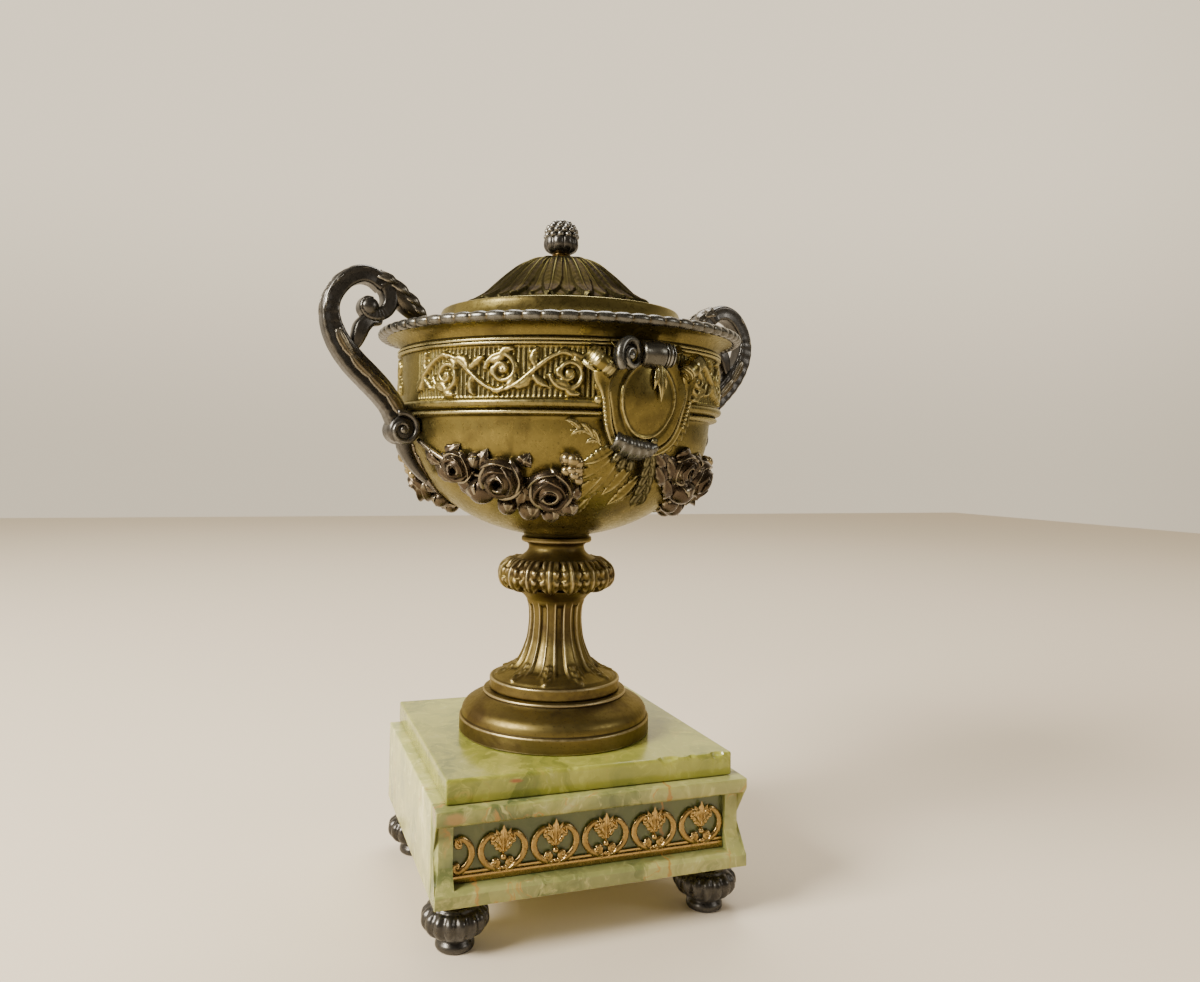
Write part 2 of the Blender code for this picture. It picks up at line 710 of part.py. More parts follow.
def handle_shapes():
    """The bars that branch from the main one, as (name, path, half sizes)."""
    bar, broad = HANDLE_BAR / 2, HANDLE_BREADTH / 2
    rise = HANDLE_RISE
    tip = RIM_RADIUS - RIM_LEAF_LENGTH
    leaf_points = [
        (tip, RIM_TOP + rise * 0.09),
        (tip + RIM_LEAF_LENGTH * 0.33, RIM_TOP + rise * 0.25),
        (tip + RIM_LEAF_LENGTH * 0.63, RIM_TOP + rise * 0.53),
        handle_point(0.428, 0.946),
    ]
    leaf_stops = [(bar * 0.42, broad), (bar * 0.9, broad * 1.44), (bar * 1.1, broad * 1.24), (bar, broad)]
    curl_points = [
        handle_point(0.400, 0.920),
        handle_point(0.332, 0.799),
        handle_point(0.400, 0.725),
        handle_point(0.531, 0.732),
        handle_point(0.593, 0.779),
    ]
    curl_stops = [(bar, broad), (bar * 0.9, broad), (bar * 0.8, broad * 0.92), (bar, broad)]
    spur_points = [
        handle_point(0.554, 0.712),
        handle_point(0.661, 0.638),
        handle_point(0.689, 0.558),
        handle_point(0.760, 0.464),
    ]
    spur_stops = [(bar * 0.47, broad * 0.56), (bar * 0.68, broad * 0.80), (bar * 0.80, broad * 0.84)]
    tail_points = [
        (BOWL_RADIUS + LOWER_VOLUTE_RADIUS * 0.79, BOWL_WAIST - BOWL_DEPTH * 0.097),
        (BOWL_RADIUS - LOWER_VOLUTE_RADIUS * 0.23, BOWL_WAIST - BOWL_DEPTH * 0.323),
        (BOWL_RADIUS * 0.869, BOWL_WAIST - BOWL_DEPTH * 0.532),
    ]
    tail_stops = [(bar * 1.18, broad * 1.2), (bar * 1.05, broad * 0.9), (bar * 0.37, broad * 0.32)]
    bars = []
    for name, points, stops, steps in (
        ("leaf", leaf_points, leaf_stops, 2),
        ("curl", curl_points, curl_stops, 2),
        ("spur", spur_points, spur_stops, 1),
        ("tail", tail_points, tail_stops, 1),
    ):
        path = smooth_path(points, steps)
        bars.append((name, path, blend_sizes(stops, len(path))))
    return bars


def lower_volute():
    """Round roll at the foot of a handle."""
    centre = Vector((FRIEZE_RADIUS + LOWER_VOLUTE_RADIUS * 0.47, 0.0, BOWL_WAIST - BOWL_DEPTH * 0.074))
    points = []
    for i in range(12):
        angle = 2 * pi * i / 12
        x = centre.x + LOWER_VOLUTE_RADIUS * cos(angle)
        z = centre.z + LOWER_VOLUTE_RADIUS * sin(angle)
        points.append((x, -LOWER_VOLUTE_BREADTH / 2, z))
    return prism(points, (0, LOWER_VOLUTE_BREADTH, 0))


def add_handles(urn):
    """Scrolled handles on both sides, resting on the rim and on the cup."""
    tools = [cutter(f"handle_{part}", sweep(path, sizes), urn) for part, path, sizes in handle_shapes()]
    tools.append(cutter("handle_volute", lower_volute(), urn))
    handle = add_object("handle_right", sweep(*strap_shape()), "dark_bronze", urn)
    combine(handle, tools, "UNION")
    combine(handle, [bowl_envelope(urn, "handle_seat")], "DIFFERENCE")
    copy_round(handle, ["handle_left"])


# Cartouches and garlands


def on_bowl(angle, z, relief, radius=BOWL_RADIUS):
    """Point standing out from the cup, or from a cylinder above its waist; angles run from -Y to +X."""
    part = min(0.0, z - BOWL_WAIST) / BOWL_DEPTH
    round_radius = radius * sqrt(1 - part * part)
    out = Vector((1.0, part * radius / BOWL_DEPTH)).normalized()
    r = round_radius + out.x * relief
    return Vector((r * sin(angle), -r * cos(angle), z + out.y * relief))


def shield_rounds():
    """Rounds of the cartouche from its back to its crown, on the bowl's curve."""
    count = 16
    middle = FRIEZE_BOTTOM + 0.0010
    rounds = []
    for scale, relief in ((1.0, -0.006), (1.0, SHIELD_RELIEF * 0.45), (0.86, SHIELD_RELIEF)):
        points = []
        for i in range(count):
            t = 2 * pi * i / count
            wide = WING_SPAN if 0.1 < sin(t) < 0.8 else SHIELD_HALF_WIDTH
            x = scale * wide * cos(t)
            z = middle + scale * SHIELD_HALF_HEIGHT * sin(t)
            points.append(on_bowl(x / FRIEZE_RADIUS, z, relief, FRIEZE_RADIUS))
        rounds.append(points)
    return rounds


def copy_round(source, names):
    """Adds equal copies of a finished object, spread evenly round the urn's axis after it."""
    total = len(names) + 1
    for k, name in enumerate(names, 1):
        twin = bpy.data.objects.new(name, source.data.copy())
        twin.data.name = name
        twin.parent = source.parent
        twin.rotation_euler.z = 2 * pi * k / total
        bpy.context.scene.collection.objects.link(twin)


def medallion_rounds():
    """Rounds of the oval medallion: raised border, sunk field and a low boss."""
    rounds = []
    sides = 10
    centre = FRIEZE_BOTTOM + 0.0008
    border = SHIELD_RELIEF + 0.0016
    field = border - MEDALLION_SUNK
    boss = border + 0.0010
    for scale, relief in ((1.0, 0.0), (1.0, border), (0.84, border), (0.80, field), (0.30, boss)):
        points = []
        for i in range(sides):
            t = 2 * pi * i / sides
            x = scale * MEDALLION_HALF_WIDTH * cos(t)
            z = centre + scale * MEDALLION_HALF_HEIGHT * sin(t)
            points.append(on_bowl(x / FRIEZE_RADIUS, z, relief, FRIEZE_RADIUS))
        rounds.append(points)
    return rounds


def roll_rounds():
    """Rounds of the double roll that lies across the shield's top."""
    centre = Vector((0.0, -(FRIEZE_RADIUS + 0.0054), FRIEZE_TOP + 0.0018))
    half = MEDALLION_HALF_WIDTH
    sides = 8
    stops = ((-1.0, 0.78), (-0.88, 1.0), (-0.1, 0.84), (0.78, 1.0), (1.0, 0.80))
    rounds = []
    for place, scale in stops:
        r = ROLL_RADIUS * scale
        section = []
        for i in range(sides):
            angle = 2 * pi * i / sides
            section.append(centre + Vector((half * place, r * cos(angle), r * sin(angle))))
        rounds.append(section)
    return rounds


def add_cartouches(urn):
    """Shields with an oval medallion, leaf wings and a rolled top, at the front and the back."""
    shield = add_object("cartouche_front", turned(shield_rounds()), "urn_bronze", urn)
    medallion = cutter("cartouche_medallion", turned(medallion_rounds()), urn)
    roll = cutter("cartouche_roll", turned(roll_rounds()), urn)
    combine(shield, [medallion, roll], "UNION")
    combine(shield, [bowl_envelope(urn, "cartouche_seat")], "DIFFERENCE")
    copy_round(shield, ["cartouche_back"])


def flower(angle, z, radius, relief, stops, sides):
    """Flower standing on the cup; stops are (share of radius, share of relief) from its base."""
    sunk = ROSE_RELIEF * 0.32
    base = on_bowl(angle, z, -sunk)
    out = (on_bowl(angle, z, sunk) - on_bowl(angle, z, 0.0)).normalized()
    side = Vector((cos(angle), sin(angle), 0.0))
    up = out.cross(side)
    rounds = []
    for k, (r, h) in enumerate(stops):
        lift = 0.0 if k == 0 else sunk + relief * h
        points = []
        for i in range(sides):
            a = 2 * pi * i / sides
            points.append(base + out * lift + (side * cos(a) + up * sin(a)) * radius * r)
        rounds.append(points)
    return turned(rounds)


def swag_middle(degrees):
    """Height of the middle of a swag, at a number of degrees from its handle."""
    t = (degrees - SWAG_START) / (SWAG_END - SWAG_START)
    return BOWL_WAIST - BOWL_DEPTH * (0.25 + 0.4355 * sin(pi * min(1.0, t * 1.08)) ** 0.8)


def leaf_band():
    """Band of leaves under the flowers, a quarter round from the left handle."""
    rounds = []
    count = 8
    for i in range(count + 1):
        t = i / count
        degrees = SWAG_START + (SWAG_END - SWAG_START) * t
        angle = radians(degrees) - pi / 2
        z = swag_middle(degrees)
        wide = ROSE_RADIUS * (0.283 + 0.802 * sin(pi * t) + 0.283 * (i % 2))
        relief = ROSE_RELIEF * (0.368 + 0.096 * (i % 2))
        below = -ROSE_RELIEF * 0.416
        corners = ((wide, below), (0.0, relief), (-wide, below))
        rounds.append([on_bowl(angle, z + dz, out) for dz, out in corners])
    return turned(rounds)


def add_garlands(urn):
    """Four equal swags of roses, buds and leaves between the handles and the cartouches."""
    band = add_object("garland_front_left", leaf_band(), "dark_bronze", urn)
    tools = []
    for degrees, below, radius, relief, stops in FLOWERS:
        sides = 2 * len(stops) - 1
        z = swag_middle(degrees) - ROSE_RADIUS * below
        bm = flower(radians(degrees) - pi / 2, z, radius, relief, stops, sides)
        tools.append(cutter("garland_flower", bm, urn))
    combine(band, tools, "UNION")
    combine(band, [bowl_envelope(urn, "garland_seat")], "DIFFERENCE")
    copy_round(band, ["garland_front_right", "garland_back_right", "garland_back_left"])


def main():
    """Builds the whole urn."""
    for obj in list(bpy.data.objects):
        bpy.data.objects.remove(obj)
    urn = bpy.data.objects.new("urn_axis", None)
    urn.rotation_euler.z = URN_TURN
    bpy.context.scene.collection.objects.link(urn)
    add_feet()
    add_plinth()
    add_gilt_frieze()
    add_foot_disc(urn)
    add_stem(urn)
    add_collar(urn)
    add_bowl(urn)
    add_lid(urn)
    add_finial(urn)
    add_handles(urn)
    add_cartouches(urn)
    add_garlands(urn)


main()
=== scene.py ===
"""Mantel urn: a gilt and patinated bronze urn with a leaf-covered lid on a footed green onyx plinth.

Shapes are numpy grids in millimetres: lathed profiles with carved relief, bars carried along curves,
veined leaves and low reliefs laid on the bowl. The urn is turned nine degrees on its plinth. Sizes are
in millimetres, apart from the studio's and the finishes'.
"""

from __future__ import annotations

import logging
import math
from dataclasses import dataclass, field
from enum import Enum
from typing import Callable, Iterable, Sequence

import bpy
import numpy as np
from mathutils import Matrix, Vector

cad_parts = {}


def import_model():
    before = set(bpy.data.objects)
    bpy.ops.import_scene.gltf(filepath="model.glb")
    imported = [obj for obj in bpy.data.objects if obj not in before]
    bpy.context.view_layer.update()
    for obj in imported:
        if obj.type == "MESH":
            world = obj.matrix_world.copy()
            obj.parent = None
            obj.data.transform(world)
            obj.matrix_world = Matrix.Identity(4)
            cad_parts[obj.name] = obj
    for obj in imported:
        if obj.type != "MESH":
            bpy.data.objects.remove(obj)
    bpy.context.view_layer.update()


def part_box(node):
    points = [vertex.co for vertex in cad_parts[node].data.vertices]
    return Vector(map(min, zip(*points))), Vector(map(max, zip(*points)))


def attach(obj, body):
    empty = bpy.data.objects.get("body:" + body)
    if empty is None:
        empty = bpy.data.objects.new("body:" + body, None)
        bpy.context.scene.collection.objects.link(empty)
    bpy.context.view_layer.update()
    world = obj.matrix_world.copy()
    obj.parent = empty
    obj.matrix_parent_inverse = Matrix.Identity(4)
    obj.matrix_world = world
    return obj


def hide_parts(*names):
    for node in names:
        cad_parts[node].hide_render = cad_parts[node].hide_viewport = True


LOG = logging.getLogger("mantel_urn")
Array = np.ndarray
Colour = tuple[float, float, float]
Socket = bpy.types.NodeSocket
Tree = bpy.types.NodeTree
Material = bpy.types.Material
MM = 0.001
TURN = math.radians(9.0)  # turn of the urn on its plinth
TAU = 2.0 * math.pi
# The gain below shapes the bend mask: crests get worn metal and a painted highlight, hollows patina and
# painted shade.
BEND_GAIN = 1.3  # how fast a bend turns into wear, in millimetres
BLOCK = 4000  # points that nearness measures at once
SENSOR = 36.0  # width of the camera's film in millimetres


# Grids, curves and falloffs


def ramp(low: float, high: float, value: Array) -> Array:
    """Smooth step from 0 at low to 1 at high."""
    t = np.clip((np.asarray(value, float) - low) / (high - low), 0.0, 1.0)
    return t * t * (3.0 - 2.0 * t)


def hump(value: Array, width: float | Array) -> Array:
    """Gaussian hump exp(-(value/width)^2)."""
    return np.exp(-((np.asarray(value, float) / width) ** 2))


def shares(count: int) -> Array:
    """Evenly spaced shares of the way from 0 to 1."""
    return np.linspace(0.0, 1.0, count)


def dome_over(x: Array) -> Array:
    """Half circle over -1 to 1: (1 - x^2)^(1/2)."""
    return np.sqrt(np.clip(1 - x**2, 0, 1))


def curve(points: Sequence[Sequence[float]], steps: int = 8) -> Array:
    """Catmull-Rom curve through the points, with a number of steps to each stretch.

    Args:
        points: Stations in any number of dimensions.
        steps: Samples between two stations.

    Returns:
        The samples, one a row.
    """
    p = np.asarray(points, float)
    p = np.vstack([2 * p[0] - p[1], p, 2 * p[-1] - p[-2]])
    t = np.arange(steps)[None, :, None] / steps
    a, b, c, d = (p[k : len(p) - 3 + k][:, None, :] for k in range(4))
    body = 0.5 * (2 * b + (c - a) * t + (2 * a - 5 * b + 4 * c - d) * t**2 + (3 * b - a - 3 * c + d) * t**3)
    return np.vstack([body.reshape(-1, p.shape[1]), p[-2:-1]])


def joined(*pieces: Array) -> Array:
    """Runs of a profile end to end, without the doubled points where they meet.

    Args:
        *pieces: Runs of stations, radius and height in each row.

    Returns:
        One run.
    """
    runs = [np.asarray(pieces[0], float)]
    for piece in pieces[1:]:
        piece = np.asarray(piece, float)
        same = np.allclose(piece[0], runs[-1][-1], atol=1e-6)
        runs.append(piece[1:] if same else piece)
    return np.vstack(runs)


def evened(points: Array, count: int) -> Array:
    """The same run resampled at equal distances along itself.

    Args:
        points: Stations, one a row.
        count: Number of stations wanted.

    Returns:
        The new stations.
    """
    gaps = np.linalg.norm(np.diff(points, axis=0), axis=1)
    place = np.concatenate([[0.0], np.cumsum(gaps)])
    wanted = np.linspace(0.0, place[-1], count)
    return np.stack([np.interp(wanted, place, points[:, k]) for k in range(points.shape[1])], axis=1)


def angles(columns: int) -> Array:
    """Azimuths of the columns of a round, from -Y towards +X."""
    return np.arange(columns) * TAU / columns


def spin(points: Array, turn: float) -> Array:
    """Points turned about the urn's axis.

    Args:
        points: Any grid of points.
        turn: Turn in radians.

    Returns:
        The turned grid.
    """
    c, s = math.cos(turn), math.sin(turn)
    x, y = points[..., 0], points[..., 1]
    return np.stack([c * x - s * y, s * x + c * y, points[..., 2]], axis=-1)


@dataclass
class Patch:
    """A closed surface: rows of closed loops, capped at both ends or joined end to end.

    Attributes:
        points: Rows by columns by 3, in millimetres. Columns always close on themselves.
        ring: True where the last row joins the first.
        tone: Mask that shifts the finish, 0 to 1, one value or one for each point.
        caps: Centres of the two end faces, where the mean of the loop isn't used.
    """

    points: Array
    ring: bool = False
    tone: float | Array = 0.0
    caps: tuple[Array, Array] | None = None

    def turned(self, turn: float) -> "Patch":
        """The same patch turned about the urn's axis."""
        caps = None if self.caps is None else (spin(self.caps[0], turn), spin(self.caps[1], turn))
        return Patch(spin(self.points, turn), self.ring, self.tone, caps)

    def moved(self, offset: Sequence[float]) -> "Patch":
        """The same patch moved by an offset.

        Args:
            offset: Move along x, y and z in millimetres.

        Returns:
            The moved patch.
        """
        move = np.asarray(offset, float)
        caps = None if self.caps is None else (self.caps[0] + move, self.caps[1] + move)
        return Patch(self.points + move, self.ring, self.tone, caps)


def bend_of(points: Array, ring: bool, passes: int) -> Array:
    """Signed bend of a grid: the mean of both ways' curvature, positive on crests after orienting.

    Formula: H = half the sum of (P[-1] - 2 P + P[+1]) . N / spacing^2 along rows and along columns.

    Args:
        points: Rows by columns by 3.
        ring: True where the last row joins the first.
        passes: Smoothing passes.

    Returns:
        The bend at each point, in 1/mm.
    """
    after_c, before_c = np.roll(points, -1, 1), np.roll(points, 1, 1)
    if ring:
        after_r, before_r = np.roll(points, -1, 0), np.roll(points, 1, 0)
    else:
        after_r = np.concatenate([points[1:], points[-1:]], 0)
        before_r = np.concatenate([points[:1], points[:-1]], 0)
    along_c, along_r = after_c - before_c, after_r - before_r
    normal = np.cross(along_c, along_r)
    normal /= np.linalg.norm(normal, axis=-1, keepdims=True) + 1e-9
    bend = np.zeros(points.shape[:2])
    for after, before, along in ((after_c, before_c, along_c), (after_r, before_r, along_r)):
        spacing = np.maximum(np.sum(along * along, -1) * 0.25, 0.01)
        bend += 0.5 * np.sum((after + before - 2 * points) * normal, -1) / spacing
    for _ in range(passes):
        bend = 0.5 * bend + 0.25 * (np.roll(bend, 1, 1) + np.roll(bend, -1, 1))
        if ring:
            bend = 0.5 * bend + 0.25 * (np.roll(bend, 1, 0) + np.roll(bend, -1, 0))
        else:
            padded = np.concatenate([bend[:1], bend, bend[-1:]], 0)
            bend = 0.5 * bend + 0.25 * (padded[2:] + padded[:-2])
    return bend


def cast(name: str, patches: Iterable[Patch], finish: Material, *, crease: float = 0.0,
         passes: int = 2) -> bpy.types.Object:
    """Puts closed patches into one mesh object, with a bend mask and a "tone" mask as point attributes.

    Args:
        name: Name of the piece.
        patches: Closed patches in millimetres.
        finish: Material of the piece.
        crease: Angle in degrees above which an edge is shaded sharp, or 0 for none.
        passes: Smoothing passes of the bend mask that sets wear, painted highlight and painted shade.

    Returns:
        The object, at the origin, with its place in its mesh.
    """
    coords, corners, starts, bend_masks, tones = [], [], [], [], []
    base = offset = 0
    for patch in patches:
        p = patch.points
        rows, cols = p.shape[:2]
        index = np.arange(rows * cols).reshape(rows, cols)
        low = index if patch.ring else index[:-1]
        high = np.roll(index, -1, 0) if patch.ring else index[1:]
        quads = np.stack([low, np.roll(low, -1, 1), np.roll(high, -1, 1), high], -1).reshape(-1, 4)
        tris = np.zeros((0, 3), int)
        verts = p.reshape(-1, 3)
        if not patch.ring:
            first, last = (p[0].mean(0), p[-1].mean(0)) if patch.caps is None else patch.caps
            a, b = index[0], index[-1]
            fan_a = np.stack([np.roll(a, -1), a, np.full(cols, rows * cols)], -1)
            fan_b = np.stack([b, np.roll(b, -1), np.full(cols, rows * cols + 1)], -1)
            tris = np.vstack([fan_a, fan_b])
            verts = np.vstack([verts, first, last])
        middle = verts.mean(0)
        v = verts - middle
        volume = 0.0
        for fan in (quads[:, :3], quads[:, [0, 2, 3]], tris):
            volume += np.einsum("ij,ij->", v[fan[:, 0]], np.cross(v[fan[:, 1]], v[fan[:, 2]]))
        bend = bend_of(p, patch.ring, passes)
        if volume < 0:
            quads, tris = quads[:, ::-1], tris[:, ::-1]
        else:
            bend = -bend
        # Bend mask: high on crests (worn metal and painted highlight), low in hollows (patina and painted
        # shade).
        wear_and_painted_light = 0.5 + 0.5 * np.tanh(bend * BEND_GAIN)
        tone = np.broadcast_to(np.asarray(patch.tone, float), (rows, cols)).reshape(-1)
        wear_and_painted_light = wear_and_painted_light.reshape(-1)
        if not patch.ring:
            wear_and_painted_light = np.concatenate([wear_and_painted_light, [wear_and_painted_light[:cols].mean(), wear_and_painted_light[-cols:].mean()]])
            tone = np.concatenate([tone, [tone[:cols].mean(), tone[-cols:].mean()]])
        coords.append(verts)
        bend_masks.append(wear_and_painted_light)
        tones.append(tone)
        for faces, size in ((quads, 4), (tris, 3)):
            corners.append((faces + base).reshape(-1))
            starts.append(offset + size * np.arange(len(faces)))
            offset += size * len(faces)
        base += len(verts)
    points = np.vstack(coords) * MM
    mesh = bpy.data.meshes.new(name)
    mesh.vertices.add(len(points))
    mesh.vertices.foreach_set("co", points.astype(np.float32).reshape(-1))
    mesh.loops.add(offset)
    mesh.loops.foreach_set("vertex_index", np.concatenate(corners).astype(np.int32))
    start = np.concatenate(starts).astype(np.int32)
    mesh.polygons.add(len(start))
    mesh.polygons.foreach_set("loop_start", start)
    mesh.polygons.foreach_set("use_smooth", np.ones(len(start), bool))
    mesh.update(calc_edges=True)
    for label, values in (("wear_and_painted_light", bend_masks), ("tone", tones)):
        attribute = mesh.attributes.new(label, "FLOAT", "POINT")
        attribute.data.foreach_set("value", np.concatenate(values).astype(np.float32))
    if crease:
        mesh.set_sharp_from_angle(angle=math.radians(crease))
    mesh.materials.append(finish)
    obj = bpy.data.objects.new(name, mesh)
    bpy.context.scene.collection.objects.link(obj)
    LOG.info("%s: %d faces", name, len(start))
    return obj


# Surfaces


def lathe(profile: Array, columns: int, relief: Callable[[Array, Array], Array] | None = None,
          ring: bool = False, tone: float | Array = 0.0) -> Patch:
    """A profile turned about the urn's axis, pushed out along its normal by a relief.

    Formula: P(s, a) = (R sin a, -R cos a, Z), where (R, Z) = profile(s) + normal(s) * relief(a, s).

    Args:
        profile: Radius and height, one station a row.
        columns: Points round.
        relief: Push along the normal from azimuth and share of the way along.
        ring: True where the profile closes on itself.
        tone: Mask that shifts the finish.

    Returns:
        The turned surface.
    """
    flow = np.gradient(profile, axis=0)
    flow /= np.linalg.norm(flow, axis=1, keepdims=True) + 1e-9
    normal = np.stack([flow[:, 1], -flow[:, 0]], 1)
    a = angles(columns)[None, :]
    s = shares(len(profile))[:, None]
    push = np.zeros((len(profile), columns)) if relief is None else relief(a, s) + 0 * a * s
    r = profile[:, :1] + normal[:, :1] * push
    z = profile[:, 1:] + normal[:, 1:] * push
    return Patch(np.stack([r * np.sin(a), -r * np.cos(a), z], -1), ring, tone)


def frames(path: Array, up: Sequence[float]) -> tuple[Array, Array, Array]:
    """Direction, side and normal at each point of a path, with the side square to a given up.

    Args:
        path: Points along the path.
        up: Direction that the side is square to, one or one for each point.

    Returns:
        Three grids of unit vectors.
    """
    along = np.gradient(path, axis=0)
    along /= np.linalg.norm(along, axis=1, keepdims=True) + 1e-9
    lift = np.broadcast_to(np.asarray(up, float), path.shape)
    side = np.cross(along, lift)
    side /= np.linalg.norm(side, axis=1, keepdims=True) + 1e-9
    return along, side, np.cross(side, along)


def bar(path: Array, thick: Array | float, broad: Array | float, up: Sequence[float] = (0, 1, 0),
        sides: int = 20, square: float = 1.0, groove: float = 0.0, tone: float | Array = 0.0,
        ribs: Callable[[Array, Array], Array] | None = None) -> Patch:
    """A bar carried along a path, its section a superellipse with an optional groove on its flanks.

    Formula: section(q) = thick*|cos q|^k sgn(cos q) across the curve's plane normal and
    broad*|sin q|^k sgn(sin q) along up, shrunk by ribs(q, s).

    Args:
        path: Middle line.
        thick: Half size square to up.
        broad: Half size along up.
        up: Direction of the broad side, one or one for each point.
        sides: Points round the section.
        square: Power k: 1 is an ellipse, less is squarer.
        groove: Depth of the grooves on the broad faces.
        tone: Mask that shifts the finish.
        ribs: Share added to the section from its angle and the way along.

    Returns:
        The bar's surface.
    """
    _, side, normal = frames(path, up)
    q = np.arange(sides)[None, :] * TAU / sides + 0.001
    s = shares(len(path))[:, None]
    t = np.broadcast_to(np.asarray(thick, float), (len(path),))[:, None]
    b = np.broadcast_to(np.asarray(broad, float), (len(path),))[:, None]
    cos_q, sin_q = np.cos(q), np.sin(q)
    across = np.sign(cos_q) * np.abs(cos_q) ** square
    along_up = np.sign(sin_q) * np.abs(sin_q) ** square
    scale = np.ones((len(path), sides)) if ribs is None else 1.0 + ribs(q, s)
    flank = groove * hump(cos_q, 0.45) * ramp(0.0, 0.06, s) * ramp(1.0, 0.94, s)
    x = t * across * scale
    y = (b - flank) * along_up * scale
    points = path[:, None, :] + side[:, None, :] * x[..., None] + normal[:, None, :] * y[..., None]
    return Patch(points, tone=tone)


def leaf(path: Array, out: Array | Sequence[float], width: float | Array, *, relief: float = 0.8,
         lobes: float = 5.0, cut: float = 0.22, cup: float = 0.0, columns: int = 9, tip: float = 0.9,
         root: float = 0.35, back: float = 0.9, tone: float | Array = 0.0) -> Patch:
    """A veined leaf laid along a path: a lens with a midrib, side veins and a lobed edge.

    Formula: half width w(s) = width * env(s) * (1 - cut * saw(lobes s)); height over the path
    h(s, x) = relief * ((1 - x^2)^(1/2) + rib - furrow + slanting veins) - cup x^2.

    Args:
        path: Middle line of the leaf, root first.
        out: Direction that the leaf faces, one vector or one for each point.
        width: Half width at the widest place.
        relief: Height of the leaf over its path.
        lobes: Number of lobes on each edge.
        cut: Depth of the cuts between lobes, as a share of the width.
        cup: How far the edges bend back (positive) or forward (negative).
        columns: Points across the face.
        tip: How pointed the far end is.
        root: Share of the width that the root keeps.
        back: Thickness below the path.
        tone: Mask that shifts the finish.

    Returns:
        The leaf's surface.
    """
    n = len(path)
    s = shares(n)[:, None]
    face = np.broadcast_to(np.asarray(out, float), path.shape)
    face = face / (np.linalg.norm(face, axis=1, keepdims=True) + 1e-9)
    along = np.gradient(path, axis=0)
    along /= np.linalg.norm(along, axis=1, keepdims=True) + 1e-9
    side = np.cross(along, face)
    side /= np.linalg.norm(side, axis=1, keepdims=True) + 1e-9
    env = (root + (1 - root) * np.sin(np.pi * np.clip(s * 1.05, 0, 1) ** 0.8)) * (1 - s**6) ** tip
    saw = (s * lobes) % 1.0
    edge = np.asarray(width, float) * np.clip(env, 0.04, None) * (1 - cut * saw**2)
    x = np.linspace(-1.0, 1.0, columns)[None, :]
    ax = np.abs(x)
    veins = 0.22 * np.cos(TAU * (s * lobes - 0.55 * ax)) * ax * (1 - ax**4)
    height = relief * (dome_over(x) * 0.75 + 0.55 * hump(x, 0.13) - 0.18 * hump(ax - 0.32, 0.13) + veins)
    height = height * np.clip(env * 1.3, 0.15, 1.0) - cup * x**2
    under = -back * dome_over(x) * np.clip(env, 0.1, 1) - cup * x**2
    top = path[:, None] + side[:, None] * (x * edge)[..., None] + face[:, None] * height[..., None]
    low = path[:, None] + side[:, None] * (x * edge)[..., None] + face[:, None] * under[..., None]
    return Patch(np.concatenate([top, low[:, -2:0:-3]], axis=1), tone=tone)


def bead(centre: Sequence[float], radius: float, squash: float = 1.0, columns: int = 12,
         axis: Sequence[float] = (0, 0, 1), tone: float = 0.0) -> Patch:
    """A small ball, squashed along an axis.

    Formula: P = centre + radius (sin v cos a, sin v sin a, squash cos v).

    Args:
        centre: Middle of the ball.
        radius: Radius square to the axis.
        squash: Size along the axis, as a share.
        columns: Points round.
        axis: Direction of the squash.
        tone: Mask that shifts the finish.

    Returns:
        The ball's surface.
    """
    v = np.linspace(0.12, np.pi - 0.12, max(columns * 2 // 3, 6))[:, None]
    a = angles(columns)[None, :]
    w = np.asarray(axis, float) / np.linalg.norm(axis)
    helper = np.array([1.0, 0, 0]) if abs(w[0]) < 0.8 else np.array([0, 1.0, 0])
    u = np.cross(w, helper)
    u /= np.linalg.norm(u)
    t = np.cross(w, u)
    x, y, z = np.sin(v) * np.cos(a), np.sin(v) * np.sin(a), np.cos(v) * squash + 0 * a
    points = np.asarray(centre, float) + radius * (x[..., None] * u + y[..., None] * t + z[..., None] * w)
    return Patch(points, tone=tone)


def spiral(turns: float, outer: float, inner: float, start: float, count: int = 60) -> Array:
    """Flat spiral from its outer end inwards.

    Formula: radius = inner + (outer - inner) (1 - t)^1.15, angle = start + 2 pi turns t.

    Args:
        turns: Number of turns.
        outer: Radius at the outer end.
        inner: Radius at the inner end.
        start: Angle of the outer end in radians.
        count: Number of points.

    Returns:
        Flat points, one a row.
    """
    t = shares(count)
    radius = inner + (outer - inner) * (1 - t) ** 1.15
    angle = start + TAU * turns * t
    return np.stack([radius * np.cos(angle), radius * np.sin(angle)], 1)


def nearness(points: Array, line: Array, widths: Array) -> Array:
    """Raised ridge along flat lines: the greatest over the line of 1 - (distance/width)^2.

    Args:
        points: Grid of flat points, rows by columns by 2.
        line: Points along the line.
        widths: Half width of the ridge at each of them.

    Returns:
        Height share from 0 to 1.
    """
    flat = points.reshape(-1, 2)
    best = np.zeros(len(flat))
    for start in range(0, len(flat), BLOCK):
        block = flat[start : start + BLOCK]
        gap = np.sum((block[:, None, :] - line[None]) ** 2, -1) / (widths[None] ** 2)
        best[start : start + BLOCK] = np.clip(1 - gap.min(1), 0, 1)
    return best.reshape(points.shape[:2])


# Finishes


class Slot(Enum):
    """The record's material slots."""

    ONYX = "onyx"
    URN = "urn_bronze"
    DARK = "dark_bronze"
    GILT = "gilt_brass"


# Hollow is patina and painted shade in recesses; Crest is worn metal with a painted highlight on edges.
PATINA_COLOURS = ("Base", "Stain", "Hollow", "Crest", "Second")
PATINA_SHARES = ("Worn", "Sunk", "Blotch", "Specks", "Gloss")
ONYX_COLOURS = ("Green", "Deep", "Pale", "Cream", "Rust")


